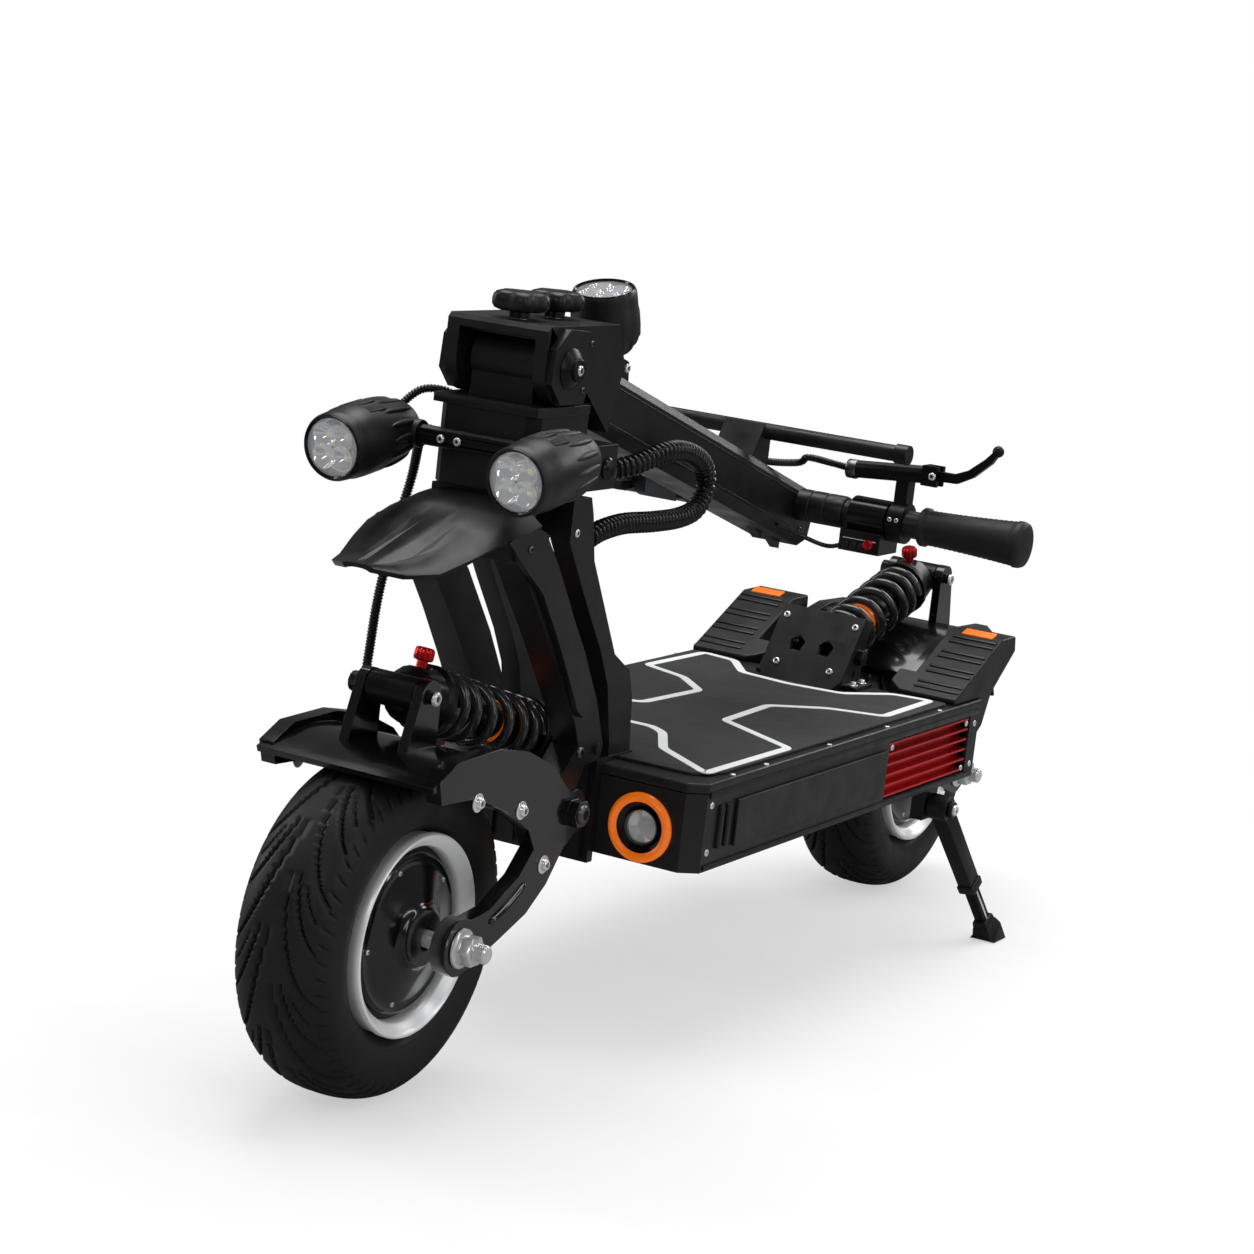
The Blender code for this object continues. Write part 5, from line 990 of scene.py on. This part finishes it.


# -------------------------------------------------------------------- lamps
# Three flared work lamps: bezel, clear cover, four bright cups with a chip
# each, and ribs and slots moulded along the housing; the slots are painted shade.
def work_lamp(node, joint, aim, ahead, length):
    mount, body = pivot(joint), JOINTS[joint]["child"]
    lens = mount + aim * ahead
    behind = -aim
    first, second = side_vectors(aim)
    shell = [(0.0, 0.0100), (0.0235, 0.0100), (0.0240, 0.0015), (0.0247, 0.0000),
             (0.0268, -0.0004), (0.0280, 0.0020), (0.0284, 0.0080), (0.0287, 0.0150),
             (0.0297, 0.0200), (0.0300, 0.0280), (0.0298, 0.0400), (0.0286, length * 0.58),
             (0.0258, length * 0.80), (0.0228, length * 0.93), (0.0205, length * 0.975),
             (0.0170, length), (0.0, length)]
    turn(f"{node}_housing", shell, lens, behind, MOULDED, body, 72, [node])
    turn(f"{node}_bezel", [(0.0238, 0.0004), (0.0252, -0.0012), (0.0262, -0.0012),
                           (0.0268, 0.0002)], lens, behind, GLOSS_PLASTIC, body,
         64)
    turn(f"{node}_plate", [(0.0, 0.0092), (0.0236, 0.0092), (0.0238, 0.0040), (0.0232, 0.0040),
                           (0.0226, 0.0082), (0.0, 0.0084)], lens, behind, CHROME, body,
         56)
    for k in range(4):
        angle = math.radians(45 + 90 * k)
        at = lens + (first * math.cos(angle) + second * math.sin(angle)) * 0.0119
        cup = [(0.0026, 0.0088), (0.0034, 0.0080), (0.0062, 0.0060), (0.0086, 0.0034),
               (0.0099, 0.0012), (0.0106, 0.0012), (0.0096, 0.0040), (0.0070, 0.0070),
               (0.0026, 0.0092)]
        turn(f"{node}_cup_{k}", cup, at, behind, CHROME, body, 36)
        turn(f"{node}_chip_{k}", [(0.0, 0.0070), (0.0018, 0.0074), (0.0022, 0.0090),
                                  (0.0, 0.0090)], at, behind, LED_YELLOW, body, 20)
    turn(f"{node}_glass", [(0.0, -0.0004), (0.0160, -0.0002), (0.0238, 0.0006),
                           (0.0238, 0.0012), (0.0, 0.0006)], lens, behind, LENS, body,
         56)
    ribs = 14
    for k in range(ribs):
        angle = 2 * math.pi * (k + 0.5) / ribs
        spoke = first * math.cos(angle) + second * math.sin(angle)
        start = lens + behind * (length * 0.46) + spoke * 0.0286
        stop = lens + behind * (length * 0.90) + spoke * 0.0234
        rib = [start.lerp(stop, s / 8) for s in range(9)]
        radii = [0.0006 + 0.0028 * math.sin(math.pi * s / 8) ** 0.5 for s in range(9)]
        sweep(f"{node}_rib_{k}", rib, radii, MOULDED, body, 10)
    for k, turn_by in enumerate((-0.42, 0.0, 0.42)):
        spoke = Matrix.Rotation(turn_by, 3, aim) @ (Z - aim * Z.dot(aim)).normalized()
        across = aim.cross(spoke)
        seat = lens + behind * (length * 0.42) + spoke * 0.0281
        window = [(-0.0044, -0.0100), (0.0044, -0.0100), (0.0036, 0.0100), (-0.0036, 0.0100)]
        # a near-black window painted in as the shade of the slot
        slab(f"{node}_slot_{k}", window, spoke, aim, seat, 0.0019, PAINTED_HOLE_SHADE, body,
             0.0004)
        frame_line = [seat + spoke * 0.0014 + across * a + aim * b
                      for a, b in window + window[:1]]
        sweep(f"{node}_slot_rim_{k}", frame_line, [0.0009] * 5, MOULDED, body,
              8)


TILT = math.radians(8)
FRONT_AIM = Vector((0, -math.cos(TILT), -math.sin(TILT)))
work_lamp("lamp_l", "lamp_tilt_l", FRONT_AIM, 0.085, 0.100)
work_lamp("lamp_r", "lamp_tilt_r", FRONT_AIM, 0.085, 0.100)
work_lamp("stem_lamp", "stem_lamp_tilt", Vector((0, -0.28, 0.96)).normalized(), 0.068, 0.056)
for word, side in (("l", 1), ("r", -1)):
    mount = pivot(f"lamp_tilt_{word}")
    span = sorted((side * 0.0564, side * 0.0820))
    turn(f"lamp_socket_{word}", [(0.0, span[0]), (0.0112, span[0]), (0.0116, span[0] + 0.001),
                                 (0.0116, span[1] - 0.001), (0.0112, span[1]), (0.0, span[1])],
         Vector((0, mount.y, mount.z)), X, MOULDED, JOINTS[f"lamp_tilt_{word}"]["child"],
         40)
lamp_mount = pivot("stem_lamp_tilt")
turn("stem_lamp_stalk", [(0.0, -0.0120), (0.0080, -0.0120), (0.0080, 0.0120), (0.0, 0.0120)],
     lamp_mount, X, MOULDED, "stem_light", 32)
for side in (-1, 1):
    screw(f"stem_lamp_screw_{'l' if side > 0 else 'r'}", lamp_mount + X * side * 0.0196,
          X * side, 0.0040, "stem", SILVER, height=0.6)


# -------------------------------------------------------------- stem and bar
# Square stem with a grey end plug, the bar with ring-marked collars, grooved
# grips, hydraulic levers, switch pod, display and throttle.
SLOPE = math.radians(17.2)
STEM_DIR = Vector((0, math.cos(SLOPE), -math.sin(SLOPE)))
STEM_UP = Vector((0, math.sin(SLOPE), math.cos(SLOPE)))


def on_stem(along, up=0.0, x=0.0):
    return FOLD + STEM_DIR * along + STEM_UP * up + X * x


plug = [(-0.0215, 0.0275), (0.0215, 0.0275), (0.0300, 0.0190), (0.0300, -0.0190),
        (0.0215, -0.0275), (-0.0215, -0.0275), (-0.0300, -0.0190), (-0.0300, 0.0190)]
slab("stem_end_plug", [(x * 0.94, z * 0.94) for x, z in plug], STEM_DIR, STEM_UP,
     on_stem(0.5628), 0.0022, BLACK_ANODISED, "stem", 0.0008)
for side in (-1, 1):
    word = "left" if side > 0 else "right"
    screw(f"stem_side_bolt_{word}", on_stem(0.5480, 0.0060, side * 0.0299), X * side, 0.0058,
          "stem", SILVER, height=0.5)
    screw(f"stem_side_screw_{word}", on_stem(0.5420, -0.0150, side * 0.0299), X * side, 0.0030,
          "stem", DARK_STEEL)
    for k, up in enumerate((0.0150, -0.0165)):
        groove = [on_stem(0.1000, up, side * 0.0299), on_stem(0.5200, up, side * 0.0299)]
        sweep(f"stem_line_{word}_{k}", groove, [0.0007, 0.0007], POWDER, "stem",
              8)
for k, along in enumerate((0.2600, 0.5000)):
    screw(f"stem_top_screw_{k}", on_stem(along, 0.0274), STEM_UP, 0.0034, "stem", DARK_STEEL)

BAR = pivot("throttle_turn")
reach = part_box("handlebar")[1].x
turn("bar_tube", [(0.0, -reach), (0.0126, -reach), (0.0130, -reach + 0.0006),
                  (0.0130, reach - 0.0006), (0.0126, reach), (0.0, reach)],
     BAR, X, POWDER, "stem", 56, ["handlebar"])
for side in (-1, 1):
    word = "left" if side > 0 else "right"
    collar = [(0.0128, 0.0304), (0.0150, 0.0304), (0.0155, 0.0310), (0.0155, 0.0440),
              (0.0148, 0.0448), (0.0148, 0.0456), (0.0155, 0.0464), (0.0155, 0.0600),
              (0.0148, 0.0608), (0.0148, 0.0616), (0.0155, 0.0624), (0.0155, 0.0775),
              (0.0146, 0.0800), (0.0128, 0.0804)]
    turn(f"bar_collar_{word}", collar, BAR, X * side, POWDER, "stem", 56)
    grip_in, ribs = 0.1600, 17
    grip = [(0.0136, grip_in), (0.0178, grip_in), (0.0184, grip_in + 0.0010),
            (0.0184, grip_in + 0.0050), (0.0168, grip_in + 0.0065)]
    for k in range(ribs * 2 + 1):
        along = grip_in + 0.0080 + (0.0860 / (ribs * 2)) * k
        share = (along - grip_in) / 0.104
        swell = 0.0162 + 0.0052 * share ** 1.6
        grip.append((swell + (0.0005 if k % 2 else 0.0), along))
    grip += [(0.0220, grip_in + 0.0960), (0.0219, grip_in + 0.1000),
             (0.0205, grip_in + 0.1035), (0.0160, grip_in + 0.1052),
             (0.0, grip_in + 0.1058)]
    turn(f"grip_moulded_{word}", grip, BAR, X * side, GRIP_RUBBER, "stem", 64,
         [f"grip_{word[0]}"], smooth=50)
    lever_joint = f"brake_lever_{word[0]}_pull"
    refine(f"brake_perch_{word[0]}", BLACK_ANODISED, 0.0009)
    refine(f"brake_lever_{word[0]}", BLACK_ANODISED, 0.0012)
    hinge = pivot(lever_joint)
    screw(f"lever_pin_{word}", hinge + Y * -0.0112, -Y, 0.0036, "stem", SILVER)
    ball = [(0.0, -0.0054)] + [(0.0055 * math.cos(a), 0.0055 * math.sin(a))
                               for a in (math.radians(d) for d in range(-72, 73, 12))]
    ball.append((0.0, 0.0054))
    turn(f"lever_ball_{word}", ball, Vector((side * 0.2260, hinge.y, hinge.z + 0.0320)), Y,
         BLACK_ANODISED, JOINTS[lever_joint]["child"], 32)
    perch_z = BAR.z + 0.0430
    turn(f"master_cap_{word}", [(0.0, -0.0010), (0.0088, -0.0010), (0.0092, 0.0),
                                (0.0092, 0.0080), (0.0084, 0.0092), (0.0, 0.0092)],
         Vector((side * 0.0780, BAR.y - 0.0020, perch_z)), X * side, DARK_STEEL, "stem",
         36)
    for k in range(2):
        screw(f"perch_screw_{word}_{k}", (side * (0.1330 + 0.0070 * k), BAR.y - 0.0190,
                                          BAR.z + 0.0040), -Y, 0.0022, "stem", STEEL)
refine("accessory_bar", POWDER, 0.0008)
refine("switch_pod", GLOSS_PLASTIC, 0.0026)
refine("display_unit", GLOSS_PLASTIC, 0.0026)
refine("throttle", MOULDED, 0.0018)
pod_low, pod_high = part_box("switch_pod")
block("pod_line", (pod_low.x + 0.004, pod_low.y - 0.0004, pod_low.z + 0.0120),
      (pod_high.x - 0.004, pod_low.y + 0.0010, pod_low.z + 0.0128), SILVER, "stem",
      0.0002)
for k in range(3):
    block(f"pod_rocker_{k}", (pod_low.x + 0.0050 + 0.0080 * k, pod_low.y - 0.0022,
                              pod_low.z + 0.0030),
          (pod_low.x + 0.0110 + 0.0080 * k, pod_low.y + 0.0010, pod_low.z + 0.0095),
          MOULDED, "stem", 0.0014)
button_low, button_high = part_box("horn_button")
button_centre = (button_low + button_high) / 2
turn("horn_cap", [(0.0, -0.0030), (0.0030, -0.0029), (0.0046, -0.0022), (0.0050, -0.0012),
                  (0.0050, 0.0030), (0.0, 0.0030)], button_centre, Y, RED_ANODISED, "horn",
     36, ["horn_button"])
screen_low, screen_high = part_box("display_unit")
block("display_glass", (screen_low.x + 0.0030, screen_low.y - 0.0006, screen_low.z + 0.0035),
      (screen_high.x - 0.0030, screen_low.y + 0.0010, screen_high.z - 0.0040), SCREEN, "stem",
      0.0004)


# ------------------------------------------------------------ hoses, cables
# Corrugated conduit: ridges spaced evenly along a given route.
def conduit(name, route, radius, pitch, body, stands_for=(), sides=20, proud=0.24):
    points = even_route(smooth_route(route, 10), pitch / 5)
    wave = (0.0, 0.8, 1.0, 0.8, 0.0)
    radii = [radius * (1 - proud + proud * wave[k % 5]) for k in range(len(points))]
    return sweep(name, points, radii, HOSE_PLASTIC, body, sides, stands_for, 50)


MAIN_HOSE = [(0.0300, -0.2442, 0.5000), (0.0312, -0.2360, 0.5003), (0.0420, -0.2150, 0.5060),
             (0.0500, -0.1780, 0.5160), (0.0500, -0.1400, 0.5140), (0.0500, -0.1080, 0.5020),
             (0.0500, -0.0960, 0.4820), (0.0500, -0.1100, 0.4620), (0.0500, -0.1400, 0.4555),
             (0.0490, -0.1850, 0.4550), (0.0470, -0.2350, 0.4565), (0.0455, -0.2700, 0.4530),
             (0.0445, -0.2880, 0.4480)]
FRONT_LOOM = [(-0.0506, -0.3700, 0.5200), (-0.0700, -0.3720, 0.5260),
              (-0.0880, -0.3560, 0.5150), (-0.0990, -0.3460, 0.4800),
              (-0.1010, -0.3620, 0.4300), (-0.1010, -0.3760, 0.3800),
              (-0.1010, -0.3820, 0.3300), (-0.0990, -0.3900, 0.2920),
              (-0.0960, -0.4050, 0.2700), (-0.0930, -0.4150, 0.2560)]
hose = conduit("hose_conduit", MAIN_HOSE, 0.0094, 0.0056, None, ["main_hose"])
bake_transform(hose)
loom = conduit("loom_conduit", FRONT_LOOM, 0.0044, 0.0027, None, ["front_loom"], 12, 0.2)
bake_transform(loom)
master = Vector((0.0780, BAR.y - 0.0020, BAR.z + 0.0430))
lever_hose = [master, master + Vector((-0.0160, -0.0030, 0.0020)),
              master + Vector((-0.0340, -0.0220, 0.0060)),
              on_stem(0.5000, 0.0430, 0.0330), on_stem(0.4700, 0.0340, 0.0240),
              on_stem(0.4500, 0.0300, 0.0150), on_stem(0.4300, 0.0290, 0.0100)]
conduit("lever_conduit_left", lever_hose, 0.0036, 0.0024, "stem", (), 12, 0.2)
conduit("lever_conduit_right", [Vector((-p.x, p.y, p.z)) for p in lever_hose], 0.0036, 0.0024,
        "stem", (), 12, 0.2)
side_lead = [Vector((-0.0480, FOLD.y + 0.0020, 0.5535)), Vector((-0.0600, -0.3700, 0.5600)),
             Vector((-0.0760, -0.3780, 0.5590)), Vector((-0.0860, -0.3880, 0.5480)),
             Vector((-0.0865, -0.3950, 0.5380))]
conduit("lamp_lead_right", side_lead, 0.0036, 0.0026, "steering", (), 12, 0.2)
pod_cable = [Vector((0.0900, BAR.y - 0.004, BAR.z - 0.0260)),
             Vector((0.0700, BAR.y - 0.012, BAR.z - 0.0330)),
             Vector((0.0480, BAR.y - 0.030, BAR.z - 0.0250)),
             on_stem(0.4950, -0.0220, 0.0290)]
sweep("pod_cable", smooth_route(pod_cable, 12), [0.0022] * 37, HOSE_PLASTIC, "stem",
      12)


# -------------------------------------------- rear bracket, footrests, stand
base_z = PLATE_TOP + 0.0004
plate_foot, plate_head = Vector((0, 0.2480, base_z)), Vector((0, 0.2980, 0.3190))
plate_up = (plate_head - plate_foot).normalized()
plate_out = X.cross(plate_up).normalized()
if plate_out.y > 0:
    plate_out = -plate_out
for side in (-1, 1):
    word = "left" if side > 0 else "right"
    for k, (x, share) in enumerate(((0.0300, 0.24), (0.0385, 0.86))):
        screw(f"bracket_screw_{word}_{k}", plate_foot.lerp(plate_head, share) + X * side * x
              + plate_out * 0.0001, plate_out, 0.0036, "frame", SILVER, height=0.6)
    for k, y in enumerate((0.2790, 0.2990)):
        screw(f"bracket_foot_bolt_{word}_{k}", (side * 0.0490, y, base_z + 0.0040), Z, 0.0034,
              "frame", SILVER, washer=0.0052, height=0.9)
    inner, outer = sorted((side * 0.0990, side * 0.1480))
    for k in range(4):
        y, z = 0.3120 + 0.0255 * k, base_z + 0.0080 + 0.0125 * k
        slope = Vector((0, 0.0205, 0.0100)).normalized()
        normal = Vector((0, -slope.z, slope.y))
        for m in range(2):
            seat = Vector((0, y, z)) + slope * (0.0050 + 0.0095 * m)
            rib = [(inner, -0.0016), (outer, -0.0016), (outer, 0.0016), (inner, 0.0016)]
            slab(f"footrest_rib_{word}_{k}_{m}", [(-x if slope.cross(normal).x < 0 else x, b)
                                                  for x, b in rib], normal, slope, seat,
                 0.0014, MOULDED, "frame", 0.0006)
    slope = Vector((0, 0.0340, 0.0090)).normalized()
    normal = Vector((0, -slope.z, slope.y))
    lens_at = Vector((side * 0.1230, 0.4150, base_z + 0.0520))
    lens_box = [(-0.0170, -0.0070), (0.0170, -0.0070), (0.0170, 0.0070), (-0.0170, 0.0070)]
    # reflector with a painted glow
    slab(f"reflector_{word}", lens_box, normal, slope, lens_at + normal * 0.0040, 0.0022,
         GLOWING_REFLECTOR, "frame", 0.0008)

# kickstand: flat sleeve, inner tube with a bright groove, tapered rubber shoe
stand_at = pivot("kickstand_fold")
stand_foot = Vector((0.1870, 0.3920, 0.0))
along = stand_foot - stand_at
leg_way = along.normalized()
leg_side = leg_way.cross(X).normalized()
width_way = leg_side.cross(leg_way).normalized()


def leg_piece(name, start, stop, half_a, half_b, look, taper=1.0, bevel=0.0012):
    """A rounded bar of rectangular section along the leg."""
    bm = bmesh.new()
    loops = []
    for share, grow in ((start, 1.0), (stop, taper)):
        centre = stand_at + along * share
        loops.append([bm.verts.new(centre + width_way * a * half_a * grow
                                   + leg_side * b * half_b * grow)
                      for a, b in ((-1, -1), (1, -1), (1, 1), (-1, 1))])
    bm.faces.new(loops[0])
    bm.faces.new(loops[1])
    for k in range(4):
        bm.faces.new((loops[0][k], loops[0][(k + 1) % 4], loops[1][(k + 1) % 4], loops[1][k]))
    bmesh.ops.recalc_face_normals(bm, faces=bm.faces)
    soften(bm, bevel)
    return place_piece(from_bmesh(name, bm, 30), look, "kickstand")


turn("stand_eye", [(0.0, -0.0104), (0.0124, -0.0104), (0.0130, -0.0098), (0.0130, 0.0094),
                   (0.0124, 0.0100), (0.0, 0.0100)], stand_at, X, POWDER, "kickstand",
     44, ["kickstand_leg"])
leg_piece("stand_sleeve", 0.03, 0.58, 0.0086, 0.0100, POWDER, 0.92)
leg_piece("stand_sleeve_lip", 0.56, 0.615, 0.0094, 0.0106, MOULDED, 0.96)
leg_piece("stand_inner", 0.60, 0.93, 0.0056, 0.0062, BLACK_ANODISED)
leg_piece("stand_groove", 0.625, 0.86, 0.0060, 0.0013, SILVER, 1.0, 0.0003)
leg_piece("stand_cuff", 0.845, 0.900, 0.0078, 0.0088, MOULDED, 1.12)
shoe = bmesh.new()
rows = []
for share, a, b in ((0.885, 0.0088, 0.0100), (0.94, 0.0105, 0.0130)):
    centre = stand_at + along * share
    rows.append([shoe.verts.new(centre + width_way * sa * a + leg_side * sb * b)
                 for sa, sb in ((-1, -1), (1, -1), (1, 1), (-1, 1))])
ground = []
for vert in rows[-1]:
    side_x = math.copysign(0.0128, vert.co.x - stand_foot.x)
    ground.append((stand_foot.x + side_x, vert.co.y))
front_y, rear_y = stand_foot.y - 0.0180, stand_foot.y + 0.0132
middle = sum(v.co.y for v in rows[-1]) / 4
rows.append([shoe.verts.new(Vector((x, front_y if vert.co.y < middle else rear_y, 0.0003)))
             for (x, y), vert in zip(ground, rows[-1])])
for low, high in zip(rows, rows[1:]):
    for k in range(4):
        shoe.faces.new((low[k], low[(k + 1) % 4], high[(k + 1) % 4], high[k]))
shoe.faces.new(rows[0])
shoe.faces.new(rows[-1])
bmesh.ops.recalc_face_normals(shoe, faces=shoe.faces)
soften(shoe, 0.0014)
place_piece(from_bmesh("stand_shoe", shoe, 30), MOULDED, "kickstand")
screw("stand_pin", stand_at + X * 0.0148, X, 0.0055, "frame", SILVER, height=0.6)
